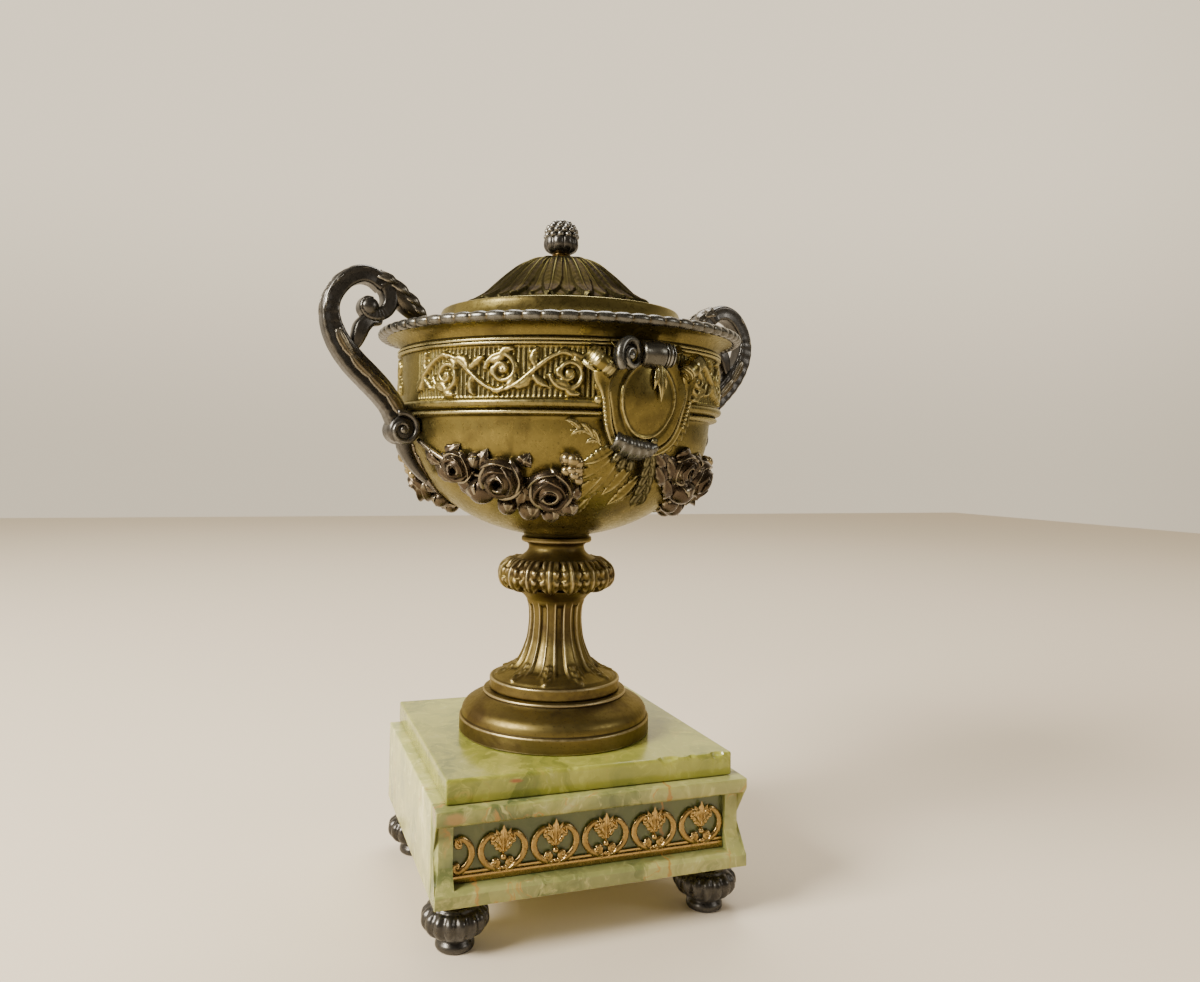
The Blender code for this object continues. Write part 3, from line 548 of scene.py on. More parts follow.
class Wiring:
    """Short hand for building a node tree."""

    def __init__(self, tree: Tree) -> None:
        """Keeps the tree."""
        self.tree = tree

    def add(self, kind: str, inputs: dict | None = None, **settings: object) -> bpy.types.Node:
        """Adds a node, sets its properties and fills its sockets with values or links.

        Args:
            kind: Type of the node.
            inputs: Value or socket for each input, by name or place.
            **settings: Properties of the node.

        Returns:
            The node.
        """
        node = self.tree.nodes.new(kind)
        for key, value in settings.items():
            setattr(node, key, value)
        for key, value in (inputs or {}).items():
            socket = node.inputs[key]
            if isinstance(value, Socket):
                self.tree.links.new(value, socket)
            else:
                socket.default_value = value
        return node

    def mix(self, factor: object, a: object, b: object, blend: str = "MIX") -> Socket:
        """Mixes two colours by a factor.

        Args:
            factor: Share of the second colour.
            a: First colour.
            b: Second colour.
            blend: Way of mixing.

        Returns:
            The mixed colour.
        """
        node = self.add("ShaderNodeMix", data_type="RGBA", blend_type=blend)
        for socket, value in ((node.inputs[0], factor), (node.inputs[6], a), (node.inputs[7], b)):
            if isinstance(value, Socket):
                self.tree.links.new(value, socket)
            else:
                three = isinstance(value, tuple) and len(value) == 3
                socket.default_value = (*value, 1.0) if three else value
        return node.outputs[2]

    def math(self, operation: str, a: object, b: object = 0.0, clamp: bool = False) -> Socket:
        """One step of arithmetic."""
        return self.add("ShaderNodeMath", {0: a, 1: b}, operation=operation, use_clamp=clamp).outputs[0]

    def vector(self, operation: str, *terms: object, out: str | int = 0) -> Socket:
        """One step of vector arithmetic."""
        kind, inputs = "ShaderNodeVectorMath", dict(enumerate(terms))
        return self.add(kind, inputs, operation=operation).outputs[out]

    def span(self, value: object, low: float, high: float, to_low: float = 0.0, to_high: float = 1.0,
             smooth: bool = True) -> Socket:
        """Maps one range of values to another.

        Args:
            value: Value to map.
            low: Value mapped to to_low.
            high: Value mapped to to_high.
            to_low: Result at low.
            to_high: Result at high.
            smooth: True for a smooth step.

        Returns:
            The mapped value.
        """
        kind = "SMOOTHSTEP" if smooth else "LINEAR"
        names = {0: value, 1: low, 2: high, 3: to_low, 4: to_high}
        return self.add("ShaderNodeMapRange", names, interpolation_type=kind).outputs[0]

    def noise(self, where: object, scale: float, detail: float = 4.0, rough: float = 0.55,
              warp: float = 0.0) -> Socket:
        """Fractal noise at a scale given in features to a metre."""
        names = {"Vector": where, "Scale": scale, "Detail": detail, "Roughness": rough, "Distortion": warp}
        return self.add("ShaderNodeTexNoise", names).outputs[0]


def group(name: str, colours: Sequence[str], values: Sequence[str],
          fill: Callable[[Wiring, dict], dict]) -> Tree:
    """Builds a shader node group with the outputs Colour, Roughness and Height, once.

    Args:
        name: Name of the group.
        colours: Names of its colour inputs.
        values: Names of its value inputs.
        fill: Makes the nodes from the input sockets and returns the output sockets by name.

    Returns:
        The group.
    """
    if name in bpy.data.node_groups:
        return bpy.data.node_groups[name]
    tree = bpy.data.node_groups.new(name, "ShaderNodeTree")
    value_kind, colour_kind = "NodeSocketFloat", "NodeSocketColor"
    sockets = [(label, "INPUT", colour_kind) for label in colours]
    sockets += [(label, "INPUT", value_kind) for label in values]
    sockets += [("Colour", "OUTPUT", colour_kind), ("Roughness", "OUTPUT", value_kind),
                ("Height", "OUTPUT", value_kind)]
    for label, side, kind in sockets:
        tree.interface.new_socket(label, in_out=side, socket_type=kind)
    wiring = Wiring(tree)
    entry = wiring.add("NodeGroupInput")
    results = fill(wiring, {label: entry.outputs[label] for label in (*colours, *values)})
    leave = wiring.add("NodeGroupOutput")
    for label, socket in results.items():
        tree.links.new(socket, leave.inputs[label])
    return tree


def shaded(name: str, tree: Tree, values: dict[str, object], bump: tuple[float, float]
           ) -> tuple[Material, Wiring, bpy.types.Node, bpy.types.Node]:
    """Starts a material whose colour, roughness and bump come from a node group.

    Args:
        name: Material name.
        tree: The group, with the outputs Colour, Roughness and Height.
        values: Value of each of the group's inputs.
        bump: Strength of the bump and its height in metres.

    Returns:
        The material, its wiring, the group's node and the shader's node.
    """
    made = bpy.data.materials.new(name)
    made.use_nodes = True
    wiring = Wiring(made.node_tree)
    shader = made.node_tree.nodes["Principled BSDF"]
    filled = {key: (*value, 1.0) if isinstance(value, tuple) else value for key, value in values.items()}
    node = wiring.add("ShaderNodeGroup", node_tree=tree)
    for label, value in filled.items():
        node.inputs[label].default_value = value
    inputs = {"Height": node.outputs["Height"], "Strength": bump[0], "Distance": bump[1]}
    normal = wiring.add("ShaderNodeBump", inputs).outputs["Normal"]
    for label, socket in (("Base Color", node.outputs["Colour"]), ("Roughness", node.outputs["Roughness"]),
                          ("Normal", normal)):
        made.node_tree.links.new(socket, shader.inputs[label])
    return made, wiring, node, shader


def patina_group() -> Tree:
    """Cast metal: bright worn crests with a painted highlight, dark or dull hollows of patina and painted
    shade, blotches, speckles and pits.

    Returns:
        The group.
    """

    def fill(w: Wiring, have: dict) -> dict:
        """Mixes the colours by the bend and tone attributes and by noises; the bend mask gives crests worn
        metal with a painted highlight and hollows patina with painted shade.

        Args:
            w: The group's wiring.
            have: The group's input sockets.

        Returns:
            The output sockets.
        """
        where = w.add("ShaderNodeTexCoord").outputs["Object"]
        # Bend mask from the mesh: crests get worn metal and a painted highlight, hollows patina and painted
        # shade.
        wear_and_painted_light = w.add("ShaderNodeAttribute", attribute_name="wear_and_painted_light").outputs["Fac"]
        tone = w.add("ShaderNodeAttribute", attribute_name="tone").outputs["Fac"]
        broad = w.noise(where, 34.0, 5.0, 0.6, 0.4)
        fine = w.noise(where, 420.0, 5.0, 0.65)
        speck = w.noise(where, 900.0, 2.0, 0.5)
        shaken = w.math("ADD", wear_and_painted_light, w.math("MULTIPLY", w.math("SUBTRACT", fine, 0.5), 0.22))
        # Crest mask: worn metal plus a painted highlight on convex edges, brighter and glossier.
        crest = w.math("MULTIPLY", w.span(shaken, 0.58, 0.86), have["Worn"], True)
        # Hollow mask: patina plus painted shade in recesses, darker and rougher.
        hollow_patina_and_shade = w.math("MULTIPLY", w.span(shaken, 0.44, 0.16), have["Sunk"], True)
        blotch = w.math("MULTIPLY", w.span(broad, 0.46, 0.68), have["Blotch"], True)
        dots = w.math("MULTIPLY", w.span(speck, 0.63, 0.72), have["Specks"], True)
        colour = w.mix(blotch, have["Base"], have["Stain"])
        colour = w.mix(w.math("MULTIPLY", fine, 0.35), colour, have["Hollow"])
        # Hollows take the dark Hollow colour: patina and painted shade.
        colour = w.mix(hollow_patina_and_shade, colour, have["Hollow"])
        colour = w.mix(w.math("MULTIPLY", tone, 1, True), colour, have["Second"])
        # Crests take the bright Crest colour: worn metal and a painted highlight.
        colour = w.mix(crest, colour, have["Crest"])
        colour = w.mix(dots, colour, have["Hollow"])
        rough = w.math("ADD", w.span(fine, 0.3, 0.7, -0.06, 0.09), have["Gloss"])
        rough = w.math("ADD", rough, w.math("MULTIPLY", hollow_patina_and_shade, 0.20))
        rough = w.math("SUBTRACT", rough, w.math("MULTIPLY", crest, 0.10), True)
        height = w.math("ADD", w.math("MULTIPLY", fine, 0.6), w.math("MULTIPLY", speck, 0.25))
        return {"Colour": colour, "Roughness": rough, "Height": height}

    return group("cast_patina", PATINA_COLOURS, PATINA_SHARES, fill)


@dataclass(frozen=True)
class MetalFinish:
    """A patinated cast metal.

    Attributes:
        name: Material name.
        slot: The record's slot that it stands for.
        base, stain, hollow, crest, second: Colours of the field, its blotches, its hollows (patina and
            painted
        shade), its worn crests (with a painted highlight), and of places where the tone mask is set.
        worn, sunk, blotch, specks: Shares of those effects.
        gloss: Roughness of the field.
        metal: Metallic value.
        grain: Height of the fine casting grain, in metres.
        edge_tint: Tint of its reflections at grazing angles.
    """

    name: str
    slot: Slot
    base: Colour
    stain: Colour
    hollow: Colour
    crest: Colour
    second: Colour
    worn: float = 0.7
    sunk: float = 0.8
    blotch: float = 0.5
    specks: float = 0.5
    gloss: float = 0.36
    metal: float = 0.9
    grain: float = 0.00012
    edge_tint: Colour = (1.0, 1.0, 1.0)

    def material(self) -> Material:
        """The material, made once.

        Returns:
            The material.
        """
        if self.name in bpy.data.materials:
            return bpy.data.materials[self.name]
        values = {label: getattr(self, label.lower()) for label in PATINA_COLOURS + PATINA_SHARES}
        made, _, _, shader = shaded(self.name, patina_group(), values, (0.55, self.grain))
        shader.inputs["Metallic"].default_value = self.metal
        shader.inputs["Specular Tint"].default_value = (*self.edge_tint, 1.0)
        return made


# In each finish the third colour darkens hollows as patina and painted shade; the fourth brightens crests as
# worn metal and a painted highlight.
GILDED = MetalFinish("gilded_urn_bronze", Slot.URN, (0.180, 0.141, 0.040), (0.078, 0.058, 0.018),
                     (0.015, 0.012, 0.006), (0.47, 0.41, 0.20), (0.36, 0.29, 0.11), blotch=0.75, gloss=0.30,
                     edge_tint=(0.88, 0.86, 0.68))
FOOT_BROWN = MetalFinish("brown_stem_bronze", Slot.URN, (0.158, 0.119, 0.036), (0.072, 0.048, 0.019),
                         (0.022, 0.014, 0.007), (0.46, 0.38, 0.21), (0.20, 0.13, 0.04), blotch=0.95,
                         gloss=0.40, edge_tint=(0.8, 0.72, 0.5))
LID_DARK = MetalFinish("lid_leaf_bronze", Slot.URN, (0.052, 0.044, 0.018), (0.026, 0.020, 0.009),
                       (0.006, 0.005, 0.003), (0.24, 0.215, 0.120), (0.15, 0.12, 0.04), worn=0.60, gloss=0.38,
                       edge_tint=(0.34, 0.32, 0.22))
RIM_GREY = MetalFinish("worn_rim_metal", Slot.URN, (0.110, 0.106, 0.090), (0.060, 0.054, 0.040),
                       (0.034, 0.024, 0.010), (0.40, 0.41, 0.40), (0.11, 0.075, 0.024), worn=0.5, gloss=0.27)
DARK = MetalFinish("dark_patina_bronze", Slot.DARK, (0.078, 0.073, 0.066), (0.046, 0.040, 0.033),
                   (0.011, 0.009, 0.007), (0.30, 0.285, 0.25), (0.26, 0.19, 0.07), worn=0.5, gloss=0.30)
ROSE_BROWN = MetalFinish("copper_rose_bronze", Slot.DARK, (0.080, 0.058, 0.038), (0.080, 0.058, 0.024),
                         (0.007, 0.005, 0.003), (0.42, 0.37, 0.26), (0.26, 0.19, 0.06), worn=0.5, sunk=1,
                         gloss=0.26)
BRASS = MetalFinish("gilt_stamped_brass", Slot.GILT, (0.25, 0.155, 0.045), (0.12, 0.066, 0.020),
                    (0.016, 0.008, 0.004), (0.62, 0.44, 0.18), (0.42, 0.26, 0.08), worn=0.55, sunk=1,
                    gloss=0.27, metal=0.95)


def onyx_group() -> Tree:
    """Green banded onyx: cloudy cells, pale streaks, creamy zones, a few rusty veins, and painted shade where
    the tone mask is set.

    Returns:
        The group.
    """

    def fill(w: Wiring, have: dict) -> dict:
        """Mixes the stone's colours by warped noises and bands.

        Args:
            w: The group's wiring.
            have: The group's input sockets.

        Returns:
            The output sockets.
        """
        where = w.add("ShaderNodeTexCoord").outputs["Object"]
        tone = w.add("ShaderNodeAttribute", attribute_name="tone").outputs["Fac"]
        shake = w.add("ShaderNodeTexNoise", {"Vector": where, "Scale": 60.0, "Detail": 3.0}).outputs["Color"]
        shake = w.vector("SUBTRACT", shake, (0.5, 0.5, 0.5))
        shifted = w.vector("MULTIPLY_ADD", shake, (0.022, 0.022, 0.022), where)
        tilt = w.add("ShaderNodeMapping",
                     {"Vector": shifted, "Rotation": (0.35, 0.5, 0.25), "Scale": (1, 1, 0.55)}).outputs[0]
        cloud = w.noise(tilt, 26.0, 6.0, 0.55, 1.6)
        wisps = w.noise(tilt, 80.0, 8.0, 0.62, 2.4)
        grain = w.noise(where, 900.0, 3.0, 0.5)
        cells = w.add("ShaderNodeTexVoronoi", {"Vector": tilt, "Scale": 36.0, "Randomness": 1.0},
                      feature="F1").outputs["Color"]
        shade = w.add("ShaderNodeSeparateColor", {0: cells}).outputs[0]
        colour = w.mix(w.span(cloud, 0.34, 0.62), have["Deep"], have["Green"])
        colour = w.mix(w.math("MULTIPLY", shade, 0.42), colour, have["Pale"])
        colour = w.mix(w.math("MULTIPLY", w.span(wisps, 0.50, 0.72), 0.75), colour, have["Pale"])
        colour = w.mix(w.math("MULTIPLY", w.span(cloud, 0.60, 0.74), have["Cream share"], True), colour,
                       have["Cream"])
        band = w.noise(tilt, 11.0, 3.0, 0.5, 1.2)
        vein = w.math("ABSOLUTE", w.math("SUBTRACT", band, 0.5))
        vein = w.math("MULTIPLY", w.span(vein, 0.010, 0), have["Rust share"], True)
        colour = w.mix(w.math("MULTIPLY", vein, w.span(wisps, 0.42, 0.62)), colour, have["Rust"])
        # The tone mask pulls towards the deep green; the front slab sets it in its sunk window, as painted
        # shade in the recess.
        colour = w.mix(w.math("MULTIPLY", tone, 0.88), colour, have["Deep"])
        rough = w.span(wisps, 0.35, 0.75, 0.16, 0.27)
        height = w.math("ADD", w.math("MULTIPLY", grain, 0.3), wisps)
        return {"Colour": colour, "Roughness": rough, "Height": height}

    return group("banded_onyx", ONYX_COLOURS, ("Cream share", "Rust share"), fill)


@dataclass(frozen=True)
class OnyxFinish:
    """Polished green onyx, in the tints of one slab.

    Attributes:
        name: Material name.
        slot: The record's slot that it stands for.
        green, deep, pale, cream, rust: Colours of the stone.
        cream_share, rust_share: How much cream and rust it has.
        marks: Stained spots: centre x, y, z and half sizes along them in metres, share and colour.
    """

    name: str
    slot: Slot = Slot.ONYX
    green: Colour = (0.31, 0.33, 0.090)
    deep: Colour = (0.13, 0.175, 0.055)
    pale: Colour = (0.54, 0.52, 0.20)
    cream: Colour = (0.82, 0.76, 0.46)
    rust: Colour = (0.42, 0.20, 0.045)
    cream_share: float = 0.5
    rust_share: float = 0.8
    marks: tuple[tuple[float, ...], ...] = ()

    def material(self) -> Material:
        """The material, made once.

        Returns:
            The material.
        """
        if self.name in bpy.data.materials:
            return bpy.data.materials[self.name]
        labels = ONYX_COLOURS + ("Cream share", "Rust share")
        values = {label: getattr(self, label.lower().replace(" ", "_")) for label in labels}
        made, wiring, node, shader = shaded(self.name, onyx_group(), values, (0.25, 0.0001))
        colour = node.outputs["Colour"]
        where = wiring.add("ShaderNodeTexCoord").outputs["Object"]
        for x, y, z, wide, deep, high, share, *tint in self.marks:
            shaken = wiring.add("ShaderNodeTexNoise",
                                {"Vector": where, "Scale": 260.0, "Detail": 3.0}).outputs["Color"]
            shaken = wiring.vector("MULTIPLY_ADD", shaken, (0.006, 0, 0), where)
            gap = wiring.vector("SUBTRACT", shaken, (x + 0.003, y, z))
            gap = wiring.vector("MULTIPLY", gap, (1 / wide, 1 / deep, 1 / high))
            reach = wiring.vector("LENGTH", gap, out="Value")
            colour = wiring.mix(wiring.span(reach, 0.7, 1.15, share, 0), colour, tuple(tint))
        made.node_tree.links.new(colour, shader.inputs["Base Color"])
        polish = {"Subsurface Weight": 0.12, "Subsurface Radius": (0.006, 0.007, 0.003),
                  "Subsurface Scale": 1.0, "IOR": 1.47, "Coat Weight": 0.06, "Coat Roughness": 0.08}
        for label, value in polish.items():
            shader.inputs[label].default_value = value
        return made


BLOCK_ONYX = OnyxFinish("onyx_block", green=(0.50, 0.49, 0.15), deep=(0.26, 0.29, 0.085),
                        pale=(0.78, 0.73, 0.34), cream=(0.86, 0.79, 0.42), cream_share=0.85, rust_share=0.6)
FRONT_ONYX = OnyxFinish("onyx_front", green=(0.27, 0.275, 0.080), deep=(0.085, 0.110, 0.038),
                        pale=(0.47, 0.44, 0.16), cream_share=0.35,
                        marks=((0.0368, -0.078, 0.052, 0.0012, 0.02, 0.034, 0.75, 0.36, 0.17, 0.035),
                               (-0.071, -0.078, 0.066, 0.006, 0.01, 0.0035, 0.55, 0.42, 0.22, 0.07),
                               (-0.060, -0.078, 0.030, 0.0010, 0.02, 0.014, 0.6, 0.40, 0.18, 0.04)))
SLAB_ONYX = OnyxFinish("onyx_top_slab", green=(0.26, 0.265, 0.042), deep=(0.13, 0.15, 0.026),
                       pale=(0.43, 0.42, 0.085), cream_share=0.15, rust_share=0.2,
                       marks=((-0.0409, -0.0706, 0.0786, 0.0052, 0.004, 0.0017, 1, 0.27, 0.060, 0.018),))


def piece(name: str, patches: Iterable[Patch], finish: MetalFinish | OnyxFinish, *nodes: str,
          turn: float = 0.0, crease: float = 0.0, passes: int = 2) -> None:
    """Args:
        name: Name of the piece.
        patches: Closed patches in millimetres.
        finish: Finish, which knows its slot.
        *nodes: Solids that the piece stands for.
        turn: Turn about the urn's axis, in radians.
        crease: Angle in degrees above which an edge is shaded sharp, or 0 for none.
        passes: Smoothing passes of the bend mask that sets wear, painted highlight and painted shade.
    """
    turned = [patch.turned(turn) if turn else patch for patch in patches]
    obj = cast(name, turned, finish.material(), crease=crease, passes=passes)
    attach(obj, "root")
    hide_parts(*nodes)


def box_of(node: str) -> tuple[Array, Array]:
    """Low and high corner of a solid's box, in millimetres."""
    low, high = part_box(node)
    return np.array(low) / MM, np.array(high) / MM


# Plinth


@dataclass
class BunFeet:
    """Four gadrooned bun feet, each with a brass stub under the plinth."""

    radius: float = 16.4
    lobes: int = 16
    lobe_depth: float = 1.7
    bun_top: float = 21.2
    stub_radius: float = 6.2
    stub_top: float = 26.0

    def bun(self) -> Patch:
        """Skirt, waist and lobed bun with a bead round a dished top.

        Returns:
            The bun, round the world's z axis.
        """
        r = self.radius
        seen = joined(
            curve([(8.4, 0), (9.2, 0.6), (9.4, 1.8), (9.1, 3.2), (8, 4.6), (7.7, 5.6), (8.4, 6.4)], 4),
            curve([(8.4, 6.4), (11.6, 7.3), (14.3, 9.2), (16.1, 12), (r, 14.6), (15.6, 17.2), (13.6, 19),
                   (11.6, 19.6)], 6),
            curve([(11.6, 19.6), (11.3, 20.6), (10.4, self.bun_top), (9.5, 20.7), (9.2, 19.8)], 4),
            curve([(9.2, 19.8), (8.2, 19.4), (7, 19.4)], 4),
        )
        profile = joined([(0.4, 0), (8.4, 0)], evened(seen, 48), [(7, 19.4), (0.4, 19.6)])

        def relief(a: Array, s: Array) -> Array:
            """Lobes |cos|^0.7 that die out towards the waist and the top bead.

            Args:
                a: Azimuths.
                s: Way along the profile, 0 to 1; not used.

            Returns:
                Push along the normal.
            """
            z = profile[:, 1:]
            body = ramp(6.6, 9.5, z) * ramp(20, 18.2, z) * (profile[:, :1] > 10)
            return -self.lobe_depth * (1 - np.abs(np.cos(self.lobes / 2 * a)) ** 0.75) * body

        return lathe(profile, 96, relief)

    def stub(self) -> Patch:
        """Brass stub with a small ring at its top.

        Returns:
            The stub, round the world's z axis.
        """
        r = self.stub_radius
        profile = joined([(0.3, 19.6), (r, 19.6), (r, 23.6)],
                         curve([(r, 23.6), (r + 0.7, 24.2), (r + 0.7, 25.2), (r, self.stub_top - 0.3)], 4),
                             [(r, self.stub_top - 0.3), (0.3, self.stub_top - 0.3)])
        return lathe(profile, 48)

    def build(self) -> None:
        """Makes a foot and a stub at each corner of the plinth."""
        for end in ("front", "back"):
            for side in ("left", "right"):
                corner = f"{end}_{side}"
                low, high = box_of(f"foot_{corner}")
                centre = (*((low + high) / 2)[:2], 0.0)
                piece(f"bun_foot_{corner}", [self.bun().moved(centre)], DARK, f"foot_{corner}")
                piece(f"foot_collar_{corner}", [self.stub().moved(centre)], BRASS, f"foot_stub_{corner}",
                      crease=40)


@dataclass(frozen=True)
class Chip:
    """A flake missing from a slab's top edge: where along its front (mm), how wide and how deep."""

    x: float
    width: float
    depth: float


def slab(low: Array, high: Array, chamfer: float, chips: Sequence[Chip] = (), corner: float = 0.8) -> Patch:
    """A stone slab with chamfered, slightly uneven edges and flakes off its top front edge.

    Formula: loops of a rounded rectangle shrunk by an inset, the inset growing over the chamfer; a flake
    adds depth * sqrt(1 - ((x - x0)/width)^2) to the inset of the front edge and lowers it as much.

    Args:
        low: Low corner of its box.
        high: High corner of its box.
        chamfer: Size of the chamfers.
        chips: Flakes missing from the top front edge.
        corner: Radius of the upright corners.

    Returns:
        The slab's surface.
    """
    (x0, y0, z0), (x1, y1, z1) = low, high

    def loop(inset: float) -> Array:
        """Rounded rectangle, front side first.

        Args:
            inset: Distance inside the box.

        Returns:
            Points round the rectangle.
        """
        r = max(corner - inset, 0.02)
        quarter = np.linspace(0, np.pi / 2, 7)
        pieces = []
        for cx, cy, turn in ((x0, y0, 1), (x1, y0, 1.5), (x1, y1, 0), (x0, y1, 0.5)):
            sx, sy = (1 if cx == x0 else -1), (1 if cy == y0 else -1)
            q = quarter + np.pi * turn
            pieces.append(np.stack([cx + sx * (inset + r) + r * np.cos(q),
                                    cy + sy * (inset + r) + r * np.sin(q)], 1))
        full = []
        for k, piece in enumerate(pieces):
            after = pieces[(k + 1) % 4][0]
            t = shares(160 if k == 0 else 60)[1:-1, None]
            full += [piece, piece[-1] * (1 - t) + after * t]
        return np.vstack(full)

    base = loop(0.0)
    ease = min(2.0, 0.3 * (z1 - z0))
    x, y = base[:, 0], base[:, 1]
    wobble = 0.12 * np.sin(x * 0.31 + y * 0.47) + 0.08 * np.sin(x * 0.9 - y * 1.1)
    flake = np.zeros(len(base))
    front = y < y0 + corner + 0.1
    for chip in chips:
        arc = np.clip(1 - ((x - chip.x) / chip.width) ** 2, 0, 1) ** 0.5
        flake = np.maximum(flake, chip.depth * arc * front)
    rows = []
    deep = 0.3 * min(x1 - x0, y1 - y0)
    cut = chamfer * 0.3
    stops = [(deep, z0), (chamfer, z0), (cut, z0 + cut), (0.0, z0 + chamfer), (0.0, z1 - chamfer - ease),
             (0.0, z1 - chamfer), (cut, z1 - cut), (chamfer, z1), (chamfer * 1.4, z1), (0.5 * deep, z1),
             (deep, z1)]
    for k, (inset, z) in enumerate(stops):
        flat = loop(inset)
        at_edge = 1.0 if 5 <= k <= 8 else 0.0
        extra = (flake + 0.5 * np.abs(wobble) * chamfer) * at_edge * (0.35 if k == 5 else 1.0)
        drop = (flake * (0.9 if k in (5, 6) else 0.0)) * at_edge
        flat[:, 1] += extra * front
        rows.append(np.column_stack([flat, z - drop]))
    return Patch(np.stack(rows))


@dataclass
class Plinth:
    """Onyx plinth: block, moulded front slab with a sunk window, and top slab."""

    recess: float = 6.0
    window: float = 3.6
    stile: float = 9.4
    sill: float = 7.5
    cornice: float = 8.5
    band: float = 5.7
    flare: float = 11.0
    end_inset: float = 0.4

    def front(self, low: Array, high: Array) -> Patch:
        """Front slab as its section carried along X, sunk where the window is.

        Formula: depth(x, z) = profile(z) + window where |x| and z lie inside the window; the ends
        draw in by a share of the depth, so the profile turns a little round the corners.

        Args:
            low: Low corner of its box.
            high: High corner of its box.

        Returns:
            The slab's surface.
        """
        front, back = low[1], high[1]
        z0, z1 = low[2], high[2]
        under = z1 - self.cornice
        flare_top = z0 + self.band + self.flare
        e = 0.03
        lower = curve([(0, z0 + self.band), (1.6, z0 + 7.6), (3.4, z0 + 10.2), (5, z0 + 13.2),
                       (self.recess, flare_top)], 7)
        upper = curve([(self.recess, under), (4, under + 0.12), (2.6, under + 0.5), (1, under + 1.6),
                       (0.25, under + 2.9), (0.0, under + 4.2)], 5)
        section = joined([(0.7, z0), (0.2, z0 + 0.15), (0, z0 + 0.7), (0, z0 + self.band - 0.5)], lower,
            [(self.recess, flare_top), (self.recess, under - 0.65), (self.recess, under)], upper,
            [(0, z1 - 0.7), (0.2, z1 - 0.15), (0.7, z1)],
        )
        sill, head = z0 + self.sill, under - 0.6
        cuts = []
        for edge in (sill - e, sill + e, head - e, head + e):
            k = np.searchsorted(section[:, 1], edge)
            a, b = section[k - 1], section[k]
            t = (edge - a[1]) / (b[1] - a[1])
            cuts.append(a + (b - a) * t)
        section = np.vstack([section, cuts])
        section = section[np.argsort(section[:, 1], kind="stable")]
        inside = (section[:, 1] > sill) & (section[:, 1] < head)
        half = (high[0] - low[0]) / 2
        centre = (high[0] + low[0]) / 2
        w = half - self.stile
        t = np.concatenate([np.linspace(0, w - 4, 40), [w - e, w + e], np.linspace(w + 1.5, half - 0.8, 5),
                            [half - 0.2, half]])
        t = np.concatenate([-t[:0:-1], t])
        rows = []
        for x in t:
            depth = section[:, 0].copy()
            if abs(x) < w:
                depth[inside] = self.recess + self.window
            turn = max(abs(x) - w, 0) / (half - w)
            px = centre + np.sign(x) * (abs(x) - turn * self.end_inset * depth)
            easing = 0.5 if abs(x) > half - 0.1 else 0.0
            face = np.column_stack([px, front + depth + easing, section[:, 1]])
            end = [(px[-1], back, z1), (px[-1], back, z1 - 4), (px[0], back, z0 + 4), (px[0], back, z0)]
            rows.append(np.vstack([face, end]))
        points = np.stack(rows)
        caps = tuple(np.array([points[k, :, 0].mean(), back - 1.2, (z0 + z1) / 2]) for k in (0, -1))
        # Tone marks the sunk window; the onyx darkens there as painted shade in the recess.
        tone = np.broadcast_to(np.append(inside, [False] * 4), points.shape[:2]) * (np.abs(t)[:, None] < w)
        return Patch(points, caps=caps, tone=tone.astype(float))

    def build(self) -> None:
        """Makes the three pieces of stone."""
        block = slab(*box_of("plinth_block"), 0.5)
        piece("onyx_block_worn", [block], BLOCK_ONYX, "plinth_block", crease=28)
        front = self.front(*box_of("plinth_front"))
        piece("onyx_front_moulded", [front], FRONT_ONYX, "plinth_front", crease=35)
        chips = (Chip(38.5, 5, 1.3), Chip(66, 3.6, 1.5), Chip(-12, 2, 0.5), Chip(52, 1.6, 0.6))
        top = slab(*box_of("plinth_top_slab"), 0.9, chips)
        piece("onyx_top_slab_chipped", [top], SLAB_ONYX, "plinth_top_slab", crease=28)


